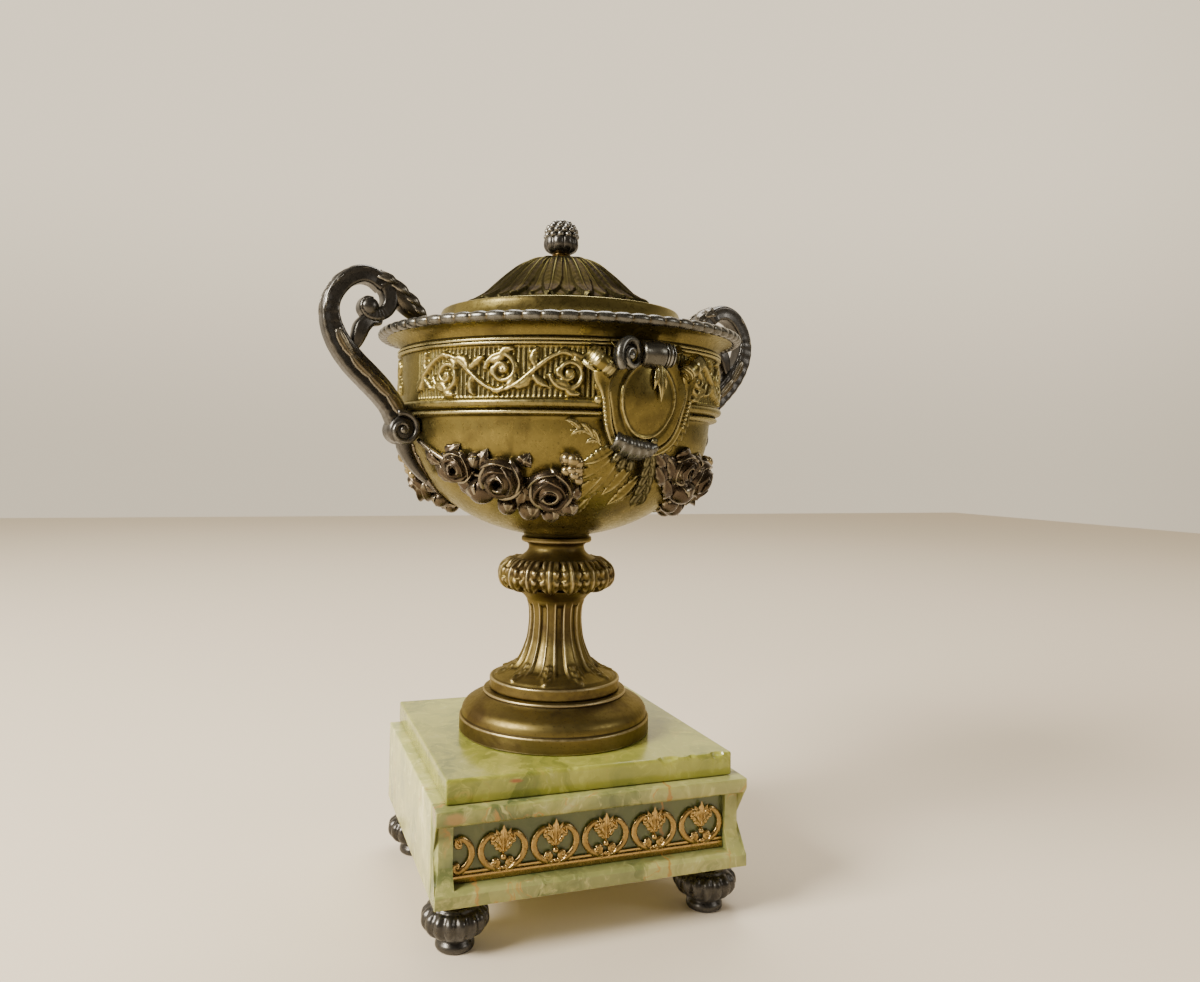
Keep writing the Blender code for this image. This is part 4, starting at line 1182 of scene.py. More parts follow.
@dataclass
class GiltArches:
    """Stamped brass band of C-scroll arches with leaf crests on a flat strip."""

    pitch: float = 26.0
    width: float = 24.6
    height: float = 20.8
    whole: int = 5
    strip: float = 3.4

    def scroll(self, side: int) -> list[Patch]:
        """One C-scroll with both ends rolled inwards, about the arch's centre, in (x, z).

        Args:
            side: 1 for the right half of the arch, -1 for the left.

        Returns:
            The scroll's parts.
        """
        a, b = self.width / 2 - 1.5, self.height / 2 - 1.6
        q = np.linspace(math.radians(-62), math.radians(52), 34)
        arc = np.stack([a * np.cos(q), b * np.sin(q)], 1)
        ends = []
        for anchor, before, size, sign in ((arc[-1], arc[-2], 2.7, 1), (arc[0], arc[1], 2.3, -1)):
            heading = math.atan2(*(anchor - before)[::-1])
            inward = heading + sign * np.pi / 2
            t = shares(24)[1:]
            angle = inward + np.pi + sign * TAU * 0.70 * t
            radius = size * (1 - 0.66 * t)
            centre = anchor + size * np.array([math.cos(inward), math.sin(inward)])
            ends.append((np.stack([centre[0] + radius * np.cos(angle), centre[1] + radius * np.sin(angle)],
                                  1), centre, size))
        line = np.vstack([ends[1][0][::-1], arc, ends[0][0]])
        t = shares(len(line))
        out = (0.0, -1.0, 0.0)
        path = np.column_stack([side * line[:, 0], np.full(len(line), -0.8), line[:, 1]])
        thick = 0.75 + 0.95 * np.sin(np.pi * t**0.8) ** 0.7
        parts = [bar(path, thick, 1.15, up=out, sides=10, ribs=lambda q, s: -0.20 * hump(np.cos(q), 0.30))]
        for _, centre, size in ends:
            parts.append(bead((side * centre[0], -1.1, centre[1]), 0.50 * size, 0.9, 10, axis=(0, 1, 0)))
        knob = np.array([side * ends[0][1][0], -1.2, ends[0][1][1]])
        for lean in (-0.5, 0.35):
            s = shares(14)[:, None]
            tip = knob + np.array([side * (-1.6 + 2.2 * lean), -0.5, 3.1])
            parts.append(leaf(knob + (tip - knob) * s, out, 1.3, relief=0.8, lobes=2, back=0.5))
        return parts

    def crest(self) -> list[Patch]:
        """Five-leaf crest that rises through the arch's opening, with a bead and curled leaves below it.

        Returns:
            The crest's parts.
        """
        out = np.array([0, -1.0, 0])
        parts = []
        blades = ((0.95, 9.8, 2.6), (-0.95, 9.8, 2.6), (0.45, 12.2, 2.7), (-0.45, 12.2, 2.7),
                  (0.0, 13.6, 2.9))
        for spread, length, wide in blades:
            s = shares(26)
            bend = spread * (0.30 + 0.80 * s)
            x = np.cumsum(np.sin(bend)) * length / 26
            z = np.cumsum(np.cos(bend)) * length / 26 - 1.8
            y = -0.9 - 0.8 * s**2 - (0.5 if spread == 0 else 0.0)
            parts.append(leaf(np.column_stack([x, y, z]), out, wide, relief=1, lobes=4, cut=0.22, tip=0.5,
                              root=0.2, back=0.6))
        parts.append(bead((0, -1.3, -3.2), 1.6, 1, 12))
        for side in (-1, 1):
            s = shares(22)
            x = side * (0.6 + 4.4 * np.sin(s * 1.9))
            z = -9.2 + 4.6 * s**1.4
            parts.append(leaf(np.column_stack([x, -0.9 - 0.6 * s, z]), out, 2, relief=0.9, lobes=3, cut=0.2,
                              back=0.6))
        parts.append(bead((0, -1.1, -8.2), 1.1, 1, 10))
        return parts

    def build(self) -> None:
        """Makes the strip, five whole arches and the half arch at the left end."""
        low, high = box_of("gilt_frieze")
        left, right, face = low[0], high[0], high[1]
        foot = low[2] + self.strip * 0.7
        middle = foot + self.height / 2
        patches = []
        bottom, ledge = low[2], low[2] + self.strip
        for z0, z1, deep, chamfer in ((bottom, ledge, 1.5, 0.25), (ledge, ledge + 1.6, 0.9, 0.2)):
            patches.append(slab(np.array((left, face - deep, z0)), np.array((right, face, z1)), chamfer,
                                corner=0.3))
        for k in range(self.whole + 1):
            x = right - self.width / 2 - k * self.pitch
            parts = self.scroll(1) + (self.scroll(-1) + self.crest() if k < self.whole else [])
            for part in parts:
                part = part.moved((x, face, middle))
                if k == self.whole:
                    x_at = part.points[..., 0]
                    part.points[..., 0] = np.maximum(x_at, left + 0.02 * (x_at - left))
                patches.append(part)
        piece("stamped_arches", patches, BRASS, "gilt_frieze", crease=60)


# Urn


@dataclass
class Stand:
    """Foot disc, fluted stem and leaf collar under the bowl."""

    disc_radius: float = 52.6
    flutes: int = 10
    collar_leaves: int = 16

    def disc(self) -> Patch:
        """Upright band, sharp edge, swelling ovolo, bead and hollow.

        Returns:
            The disc.
        """
        r = self.disc_radius
        seen = joined(
            [(r - 0.4, 82.3), (r, 82.7), (r - 0.1, 86), (r, 89.6), (r - 0.35, 90.3), (r - 1.2, 90.7)],
            curve([(r - 1.2, 90.7), (51.3, 92.4), (50.7, 94.6), (48.9, 96.9), (45.4, 98.9), (41, 100.9),
                   (39.0, 102.3)], 7), curve([(39, 102.3), (39.7, 103), (39.4, 103.9), (38, 104.3)], 4),
        )
        return lathe(joined([(1, 82.3), (r - 0.4, 82.3)], evened(seen, 84), [(38, 104.3), (1, 104.4)]), 112)

    def stem(self) -> Patch:
        """Trumpet stem with sunk channels and leaf sprigs on its plate.

        Returns:
            The stem.
        """
        shaft = curve([(32.6, 112), (27.2, 114.2), (22.9, 117), (20.3, 119.8), (18.4, 123.4),
                       (17.0, 127.0), (15.6, 131.4),
                       (14.8, 136.6), (14.4, 142), (14.6, 147.2), (15.2, 150.4), (16.4, 153.2)], 12)
        seen = joined(curve([(36, 104.7), (36.2, 105.3), (36.1, 108), (36.2, 110.2), (35.6, 110.8)], 4),
            curve([(35.6, 110.8), (34.4, 110.5), (33.6, 111), (32.6, 112)], 4), shaft,
            curve([(16.4, 153.2), (18.2, 155.4), (20.8, 157.4), (23, 159)], 5),
        )
        profile = joined([(1, 104.7), (36, 104.7)], evened(seen, 116), [(23, 159), (1, 159.2)])
        z, r = profile[:, 1:], profile[:, :1]
        outside = (r > 13) & (z > 104.9)

        def relief(a: Array, s: Array) -> Array:
            """Channels with raised fillets and round ends, and sprigs of three leaves between them.

            Args:
                a: Azimuths.
                s: Way along the profile, 0 to 1; not used.

            Returns:
                Push along the normal.
            """
            u = (a * self.flutes / TAU) % 1.0 - 0.5
            arc = u * TAU * r / self.flutes
            wide = 0.20 * TAU * r / self.flutes
            ends = ramp(114.6, 117.0, z) * ramp(151.2, 149.2, z)
            channel = ramp(wide + 0.45, wide - 0.35, np.abs(arc)) * ends
            lip = hump(np.abs(arc) - wide - 0.6, 0.42) * ramp(113.2, 115, z) * ramp(153.4, 150.6, z)
            reed = 0.20 * np.cos(np.clip(arc / np.maximum(wide, 0.1), -1, 1) * np.pi / 2)
            v = (a * self.flutes / TAU + 0.5) % 1.0 - 0.5
            arc_v = v * TAU * r / self.flutes
            height = (z - 111.4) / 8.0
            stalk = hump(arc_v, 0.7) * ramp(-0.05, 0.1, height) * ramp(1.15, 0.85, height)
            blade = np.zeros_like(arc_v)
            for lift, lean in ((0.02, 0.75), (0.34, 0.52), (0.62, 0.35)):
                offset = np.abs(arc_v) - (height - lift) * 8.0 * lean
                leaflet = hump(offset, 1.0) * ramp(lift, lift + 0.06, height)
                blade = np.maximum(blade, leaflet * ramp(lift + 0.42, lift + 0.28, height))
            sprig = np.maximum(stalk, blade) * (1 + 0.25 * np.cos(arc_v * 4.0))
            return (-1.5 * channel + reed * channel + 0.45 * lip + 0.95 * sprig) * outside

        return lathe(profile, 264, relief)

    def collar(self) -> Patch:
        """Torus of drooping acanthus leaves, the plain neck above it and its disc.

        Returns:
            The collar.
        """
        seen = joined(
            curve([(20, 159.5), (24.6, 159.7), (28.2, 160.9), (30.6, 163), (31.5, 165.8), (31.4, 168.6),
                   (30.2, 171.4), (27.6, 173.7), (24.4, 175.3)], 12),
            curve([(24.4, 175.3), (22.6, 175.2), (21.6, 175.9), (18.6, 177.6), (16.6, 179.4), (15.6, 181.4),
                   (15.8, 183.2), (17.2, 184.6)], 6),
            curve([(17.2, 184.6), (18.9, 184.9), (19.6, 185.6), (19.6, 187), (19.4, 187.7)], 4),
        )
        profile = joined([(1, 159.5), (20, 159.5)], evened(seen, 84), [(19.4, 187.7), (1, 187.8)])
        z, r = profile[:, 1:], profile[:, :1]

        def relief(a: Array, s: Array) -> Array:
            """Leaves hanging over the torus: lobed edges, a midrib and veins, with gaps between them.

            Args:
                a: Azimuths.
                s: Way along the profile, 0 to 1; not used.

            Returns:
                Push along the normal.
            """
            down = np.clip((175.0 - z) / 15.5, 0, 1)
            body = (r > 20.2) * ramp(176.0, 174.6, z)
            u = (a * self.collar_leaves / TAU) % 1.0 - 0.5
            notched = 1 - 0.30 * ((down * 3.2 + 0.2) % 1.0) ** 1.5
            edge = 0.46 * notched * (1 - 0.55 * ramp(0.82, 1.0, down))
            x = np.clip(np.abs(u) / edge, 0, 1.4)
            blade = ramp(1.12, 0.86, x) * (0.75 + 0.25 * dome_over(x))
            lobes = 0.28 * np.cos(TAU * (down * 3.2 + 0.2 - 0.35 * x)) * x * (x < 1)
            rib = 0.35 * hump(x, 0.14) - 0.28 * hump(x - 0.34, 0.13)
            return 1.9 * body * (blade + 1.3 * lobes * blade + rib * blade) - 1.0 * body

        return lathe(profile, 352, relief)

    def build(self) -> None:
        """Makes the three turned pieces."""
        for name, patch, node in (("urn_foot_disc", self.disc(), "foot_disc"),
                                  ("urn_stem", self.stem(), "fluted_stem"),
                                  ("urn_collar", self.collar(), "leaf_collar")):
            piece(name, [patch], FOOT_BROWN, node, turn=TURN, passes=1)


@dataclass
class Bowl:
    """Hollow bowl with fillets, scrolled frieze, coved neck, rope rim and ledge."""

    radius: float = 84.0
    depth: float = 62.0
    bottom: float = 188.0
    waist: float = 250.0
    wall: float = 3.0
    frieze_radius: float = 88.5
    frieze_low: float = 260.0
    frieze_high: float = 284.8
    rim_radius: float = 101.4
    rim_lobes: int = 72
    mouth: float = 68.0

    def point(self, azimuth: Array, z: Array, lift: Array) -> Array:
        """Point over the cup at an azimuth from -Y, or over the frieze's cylinder above the waist.

        Formula: r = R sqrt(1 - ((waist - z)/depth)^2), R passing smoothly from the cup's to the frieze's,
        moved out along the surface's normal by lift.

        Args:
            azimuth: Azimuth from -Y in radians.
            z: Height.
            lift: Distance out from the surface.

        Returns:
            Points in millimetres.
        """
        below = np.minimum(0.0, np.asarray(z, float) - self.waist) / self.depth
        base = self.radius + (self.frieze_radius - self.radius) * ramp(self.waist - 14, self.waist + 14, z)
        r = base * np.sqrt(np.clip(1 - below**2, 0.01, 1))
        nz = below * base / self.depth
        length = np.sqrt(1 + nz**2)
        r = r + lift / length
        return np.stack([r * np.sin(azimuth), -r * np.cos(azimuth), z + nz * lift / length], -1)

    def normal(self, azimuth: Array, z: Array) -> Array:
        """Outward direction at that point."""
        step = self.point(azimuth, z, 1.0) - self.point(azimuth, z, 0.0)
        return step / np.linalg.norm(step, axis=-1, keepdims=True)

    def cup(self) -> Patch:
        """Hollow cup up to the frieze, with the two beads under it; a ring through its inner wall.

        Returns:
            The cup.
        """
        t = np.linspace(math.radians(12.5), math.radians(86), 60)
        outer = np.stack([self.radius * np.sin(t), self.waist - self.depth * np.cos(t)], 1)
        fillets = joined(curve([outer[-1], (84.3, 250.6), (84.9, 251.6)], 3),
            curve([(84.9, 251.6), (87, 251.9), (88.4, 252.7), (88.5, 253.8), (87.2, 254.7)], 5),
            curve([(87.2, 254.7), (88.6, 255.3), (90.2, 256.2), (90.8, 257.6), (90.4, 258.9), (89, 259.8)],
                  5), [(89.0, 259.8), (86.0, 260.2)],
        )
        t = np.linspace(math.radians(84), math.radians(12.5), 24)
        inner = np.stack([(self.radius - self.wall) * np.sin(t),
                          self.waist - (self.depth - self.wall) * np.cos(t)], 1)
        profile = joined(outer, fillets, [(85.5, 260.2), (85.4, 256)], inner)
        return lathe(joined([(2, 188.2), (18.6, 188.2)], profile, [(2, 191.2)]), 128)

    def scrolls(self, x: Array, y: Array) -> Array:
        """Height share of running scrolls with leaves in a band; x along it and y across it, in mm.

        Formula: the ridge of a wavy stem y = A cos(pi x / P), a spiral turning off below each crest, and
        serrated leaves filling the corners, each as 1 - (distance/width)^2.

        Args:
            x: Place along the band.
            y: Place across the band.

        Returns:
            Height share from 0 to 1.
        """
        pitch, swing = 32.0, 8.9
        lines: list[Array] = []
        widths: list[Array] = []

        def ridge(points: Array, width: Array) -> None:
            """Adds one tapered ridge."""
            lines.append(points)
            widths.append(width)

        def frond(root: Array, heading: float, turn: float, length: float, width: float) -> None:
            """Adds a leaf with a serrated edge that curves away from its root.

            Args:
                root: Where it starts.
                heading: Direction at its root in radians.
                turn: How far it turns.
                length: Its length.
                width: Its half width.
            """
            s = shares(40)
            angle = heading + turn * s
            step = np.stack([np.cos(angle), np.sin(angle)], 1) * length / 40
            shape = np.sin(np.pi * np.clip(0.12 + 0.88 * s, 0, 1)) ** 0.8
            ridge(root + np.cumsum(step, 0),
                  width * shape * (0.68 + 0.32 * np.abs(np.sin(np.pi * 3.5 * s))) + 0.12)

        q = np.linspace(-0.7, 3.7, 520)
        ridge(np.stack([q * pitch, swing * np.cos(np.pi * (q - 0.5))], 1), 1.35 + 0.25 * np.cos(TAU * q))
        for k in range(-1, 4):
            s = 1 if k % 2 == 0 else -1
            centre = np.array([(k + 0.5) * pitch + 1.2, -0.8 * s])
            t = shares(150)
            angle = math.radians(188) + math.radians(560) * t
            radius = 8.8 - 7.2 * t**0.85
            coil = centre + np.stack([radius * np.cos(angle), s * radius * np.sin(angle)], 1)
            ridge(coil, 1.55 - 0.45 * t)
            ridge(centre + np.zeros((2, 2)), np.array([2.3, 2.3]))
            shoots = ((20, -1.1, 1.6, 7.5, 2.3), (52, -0.9, 1.9, 7, 2.1), (84, -0.7, 2.2, 5.5, 1.8),
                      (8, 1.2, -1.7, 8.5, 2.4))
            for place_at, lean, turn, length, width in shoots:
                step = coil[place_at + 1] - coil[place_at]
                heading = math.atan2(step[1], step[0])
                frond(coil[place_at], heading + s * lean, s * turn, length, width)
            joint = np.array([k * pitch, 0.0])
            frond(joint + np.array([-1, -1.5 * s]), -s * 1.9, -s * 1.3, 11, 2.7)
            frond(joint + np.array([1.5, 2.5 * s]), s * 2.2, -s * 1.5, 9.5, 2.4)
            frond(joint + np.array([0.5, -2 * s]), -s * 0.9, s * 0.5, 9, 2.2)
            frond(np.array([(k + 0.5) * pitch - 4, 8.6 * s]), s * 0.5, -s * 1.6, 8, 1.8)
        return nearness(np.stack([x, y], -1), np.vstack(lines), np.concatenate(widths))

    def frieze(self) -> Patch:
        """Band of scrolls over upright reeds, plain beside the handles.

        Returns:
            The band, with its inner wall.
        """
        columns, rows = 1080, 44
        z = np.linspace(self.frieze_low - 0.3, self.frieze_high + 0.3, rows)
        a = angles(columns)
        from_front = np.abs((a + np.pi / 2) % np.pi - np.pi / 2)
        arc = (np.pi / 2 - from_front) * self.frieze_radius
        unique, pick = np.unique(np.round(arc, 4), return_inverse=True)
        grid_x, grid_y = np.meshgrid(unique - 20.0, z - (self.frieze_low + self.frieze_high) / 2)
        raised = self.scrolls(grid_x, grid_y)[:, pick]
        panel = ramp(13.2, 14.4, arc)[None]
        edge = ramp(0.2, 1, z - self.frieze_low)[:, None] * ramp(0.2, 1, self.frieze_high - z)[:, None]
        reeds = 0.42 * np.cos(a * 216)[None] * (1 - ramp(0.0, 0.35, raised))
        height = panel * edge * (reeds - 0.5 + 2.3 * np.sqrt(raised))
        outer = lathe(np.stack([np.full(rows, self.frieze_radius), z], 1), columns, lambda a, s: height)
        inner_r = self.frieze_radius - self.wall
        inner = [(inner_r, self.frieze_high + 0.3), (inner_r, self.frieze_low - 0.3)]
        ring = np.stack([np.stack([r * np.sin(a), -r * np.cos(a), np.full(columns, zz)], -1) for r,
                         zz in inner])
        tone = np.vstack([0.55 * np.sqrt(raised) * panel, np.zeros((2, columns))])
        return Patch(np.concatenate([outer.points, ring]), ring=True, tone=tone)

    def neck(self) -> Patch:
        """Upper fillets and the coved neck under the rope, with the wall behind them.

        Returns:
            The neck, with its inner wall.
        """
        f = self.frieze_radius
        inner = f - self.wall
        profile = joined(
            curve([(f - 2.5, 284.7), (f + 0.6, 284.9), (f + 1.8, 285.5), (f + 2, 286.3), (f + 1.3, 287)], 4),
            curve([(f + 1.3, 287), (f + 1.9, 287.3), (f + 1.9, 288.2), (f + 0.9, 288.9), (f + 0.3, 289.4)],
                  4),
            curve([(f + 0.3, 289.4), (f + 0.9, 290.6), (f + 2.2, 292.4), (f + 4.4, 294.1), (f + 7.2, 295.1),
                   (f + 8.8, 295.6)], 6), [(f + 8.8, 295.6), (f + 8.8, 297.4), (f + 4, 299.3)],
            [(f + 4, 299.3), (80, 299.45), (self.mouth + 0.6, 299.5), (self.mouth, 299.1),
             (self.mouth, 297.2), (self.mouth + 0.5, 296.8), (80, 296.7), (inner, 296.6)],
            [(inner, 296.6), (inner, 284.9)],
        )
        return lathe(profile, 168, ring=True)

    def rope(self) -> Patch:
        """Rim of rounded lobes lying slightly aslant.

        Formula: a torus whose section swells with |cos(n a / 2 + slant)|^(1/2) between sharp grooves.

        Returns:
            The rim.
        """
        q = np.linspace(0, TAU, 18, endpoint=False)[:, None]
        a = angles(self.rim_lobes * 10)[None]
        lobe = np.abs(np.cos(self.rim_lobes / 2 * a + 0.14 * np.sin(q))) ** 0.34
        swell = 1 - 0.42 * (1 - lobe)
        r = self.rim_radius - 3.3 + 3.25 * np.cos(q) * swell
        z = 297.35 + 2.68 * np.sin(q) * swell
        return Patch(np.stack([r * np.sin(a), -r * np.cos(a), z + 0 * a], -1), ring=True,
                     tone=0.9 * (1 - ramp(0.25, 0.6, lobe)))

    def build(self) -> None:
        """Makes the bowl's pieces."""
        piece("bowl_cup", [self.cup()], GILDED, "bowl", turn=TURN)
        piece("bowl_frieze", [self.frieze()], GILDED, "bowl", turn=TURN, passes=1)
        piece("bowl_neck", [self.neck()], GILDED, "bowl", turn=TURN, crease=60)
        piece("bowl_rope_rim", [self.rope()], RIM_GREY, "bowl", turn=TURN)


@dataclass
class Lid:
    """Lift-off lid: coved flange, dome of long and short leaves, finial."""

    leaves: int = 16

    def flange(self) -> Patch:
        """Spigot, rounded edge, cove and the flat step that the leaves rest on.

        Returns:
            The flange.
        """
        profile = joined([(64.4, 297.2), (66.6, 297.2), (66.6, 299.8), (71.6, 299.85)],
            curve([(71.6, 299.85), (72.8, 300.3), (72.95, 301.4), (72.2, 302.6), (70.6, 304.4), (68.9, 306.8),
                   (67.7, 309.4), (67, 311.4)], 6), curve([(67, 311.4), (66.5, 312.3), (65.4, 312.6)], 4),
            curve([(65.4, 312.6), (60, 313.2), (55.6, 314.3), (52.4, 315)], 5),
            [(52.4, 315), (48, 316.2), (46, 314), (49, 311.8), (62, 310.2), (64.4, 308.6),
             (64.4, 297.2)][:-1],
        )
        return lathe(profile, 144, ring=True)

    def dome(self) -> Patch:
        """Dome of overlapping leaves whose tips lie on the step, hollow below.

        Formula: share of the pitch h(t) = H sin(pi t^0.5)^0.6 bounds each blade, t running up from its
        tip; a blade is a plateau with a midrib, two furrows and a raised edge, and a lower layer of
        blades fills the gaps.

        Returns:
            The dome, with its inner wall.
        """
        columns = 448
        outer = curve([(52.6, 314.8), (51, 316.6), (46.8, 319.2), (42.3, 322.2), (36.8, 327.4),
                       (30.7, 333), (23.6, 338.6), (16.5, 342), (9, 343.6), (4, 344)], 10)
        outer = evened(outer, 70)
        flow = shares(len(outer))[:, None]
        pitch = TAU * outer[:, :1] / self.leaves

        def layer(a: Array, shift: float, tip_at: float, most: float,
                  sides: float) -> tuple[Array, Array, Array]:
            """Distance across a blade as a share of its half width, in mm, and whether it is there.

            Args:
                a: Azimuths.
                shift: Shift of the layer, as a share of the pitch.
                tip_at: Way up at which its tips lie.
                most: Greatest half width, as a share of the pitch.
                sides: Widening towards the top.

            Returns:
                Three grids.
            """
            across = np.abs(((a * self.leaves / TAU + shift) % 1.0) - 0.5)
            t = np.clip((flow - tip_at) / 0.42, 0, 1)
            half = most * (np.sin(np.pi / 2 * t) ** 0.62) + sides * ramp(0.5, 0.9, flow)
            return across / np.maximum(half, 0.012), across * pitch, (flow >= tip_at) + 0.0 * a

        def relief(a: Array, s: Array) -> Array:
            """Upper blades over lower ones.

            Args:
                a: Azimuths.
                s: Way along the profile, 0 to 1; not used.

            Returns:
                Push along the normal.
            """
            x, mm, there = layer(a, 0, 0, 0.36, 0.05)
            fade = ramp(1.02, 0.72, flow)
            upper = ramp(1.05, 0.93, x) * there * (1.55 + 0.30 * dome_over(x))
            veins = 0.42 * hump(mm, 0.5) - 0.24 * hump(mm - 1.25, 0.55) + 0.20 * hump(x - 0.88, 0.09)
            upper += ramp(1.0, 0.9, x) * there * veins * fade
            upper += ramp(1.0, 0.7,
                          x) * ramp(0.1, 0.3, x) * there * 0.05 * np.cos(TAU * (flow * 15 + mm * 0.25))
            x, mm, there = layer(a, 0.5, 0.03, 0.34, 0)
            lower = ramp(1.06, 0.9, x) * there * (0.75 + 0.25 * dome_over(x) + 0.4 * hump(mm, 0.45))
            curl = 0.9 * ramp(0.09, 0.0, flow) * (upper > 0.8)
            return np.maximum(upper, lower) * ramp(1.0, 0.9, flow) + curl - 0.5

        top = lathe(outer, columns, relief)
        inner_profile = joined([(3.0, 341.2), (15.0, 339.2)],
                               curve([(15, 339.2), (22, 336), (29, 330.4), (35, 324.8),
                                      (41.0, 319.2), (47.5, 313.8)], 3))
        inner = lathe(inner_profile, columns)
        return Patch(np.concatenate([top.points, inner.points]), ring=True)

    def finial(self) -> list[Patch]:
        """Berry cluster in a ribbed cup.

        Returns:
            The cup, the core and the berries.
        """
        low = 347.3
        cup = curve([(3.4, low), (5.6, low + 0.6), (8.6, low + 2.2), (10, low + 5), (9.9, low + 8.2),
                     (9.0, low + 10.0)], 6)
        cup = joined([(0.5, low)], cup, [(9, low + 10), (7, low + 10.2), (0.5, low + 10.6)])
        cup = evened(cup, 36)
        z = cup[:, 1:]

        def relief(a: Array, s: Array) -> Array:
            """Ribs that swell upwards and split the cup's edge into leaves.

            Args:
                a: Azimuths.
                s: Way along the profile, 0 to 1; not used.

            Returns:
                Push along the normal.
            """
            body = ramp(low + 0.4, low + 3.0, z) * (cup[:, :1] > 7.5)
            return -1.2 * body * (1 - np.abs(np.cos(4.5 * a)) ** 0.6)

        patches = [lathe(cup, 90, relief)]
        core = np.array([(0.4, low + 8), (6.6, low + 9), (7.4, low + 12.5), (6.4, low + 16.4),
                         (3.4, low + 18.6), (0.4, low + 19.0)])
        patches.append(lathe(evened(core, 20), 24))
        rows = ((8.3, 10.4, 12), (8, 13, 12), (6.9, 15.4, 10), (4.9, 17.2, 7), (2.2, 18.2, 4))
        for row, (r, zz, count) in enumerate(rows):
            for k in range(count):
                q = TAU * (k + 0.5 * (row % 2)) / count
                patches.append(bead((r * math.sin(q), -r * math.cos(q), low + zz), 1.95, 1, 12,
                                    axis=(math.sin(q), -math.cos(q), 0.4)))
        return patches

    def neck(self) -> Patch:
        """Worn brass neck under the finial."""
        profile = joined([(0.5, 343.6), (6.2, 343.9)],
                         curve([(6.2, 343.9), (5.6, 344.8), (4.7, 345.3), (4.7, 346.4), (5.2, 347.2)], 4),
                         [(5.2, 347.2), (0.5, 347.3)])
        return lathe(profile, 48)

    def build(self) -> None:
        """Makes the lid's pieces and the finial."""
        piece("lid_flange", [self.flange()], GILDED, "lid", turn=TURN, crease=60)
        piece("lid_leaf_dome", [self.dome()], LID_DARK, "lid", turn=TURN)
        piece("lid_finial", self.finial(), DARK, "finial", turn=TURN)
        piece("lid_finial_neck", [self.neck()], BRASS, "finial_neck", turn=TURN)


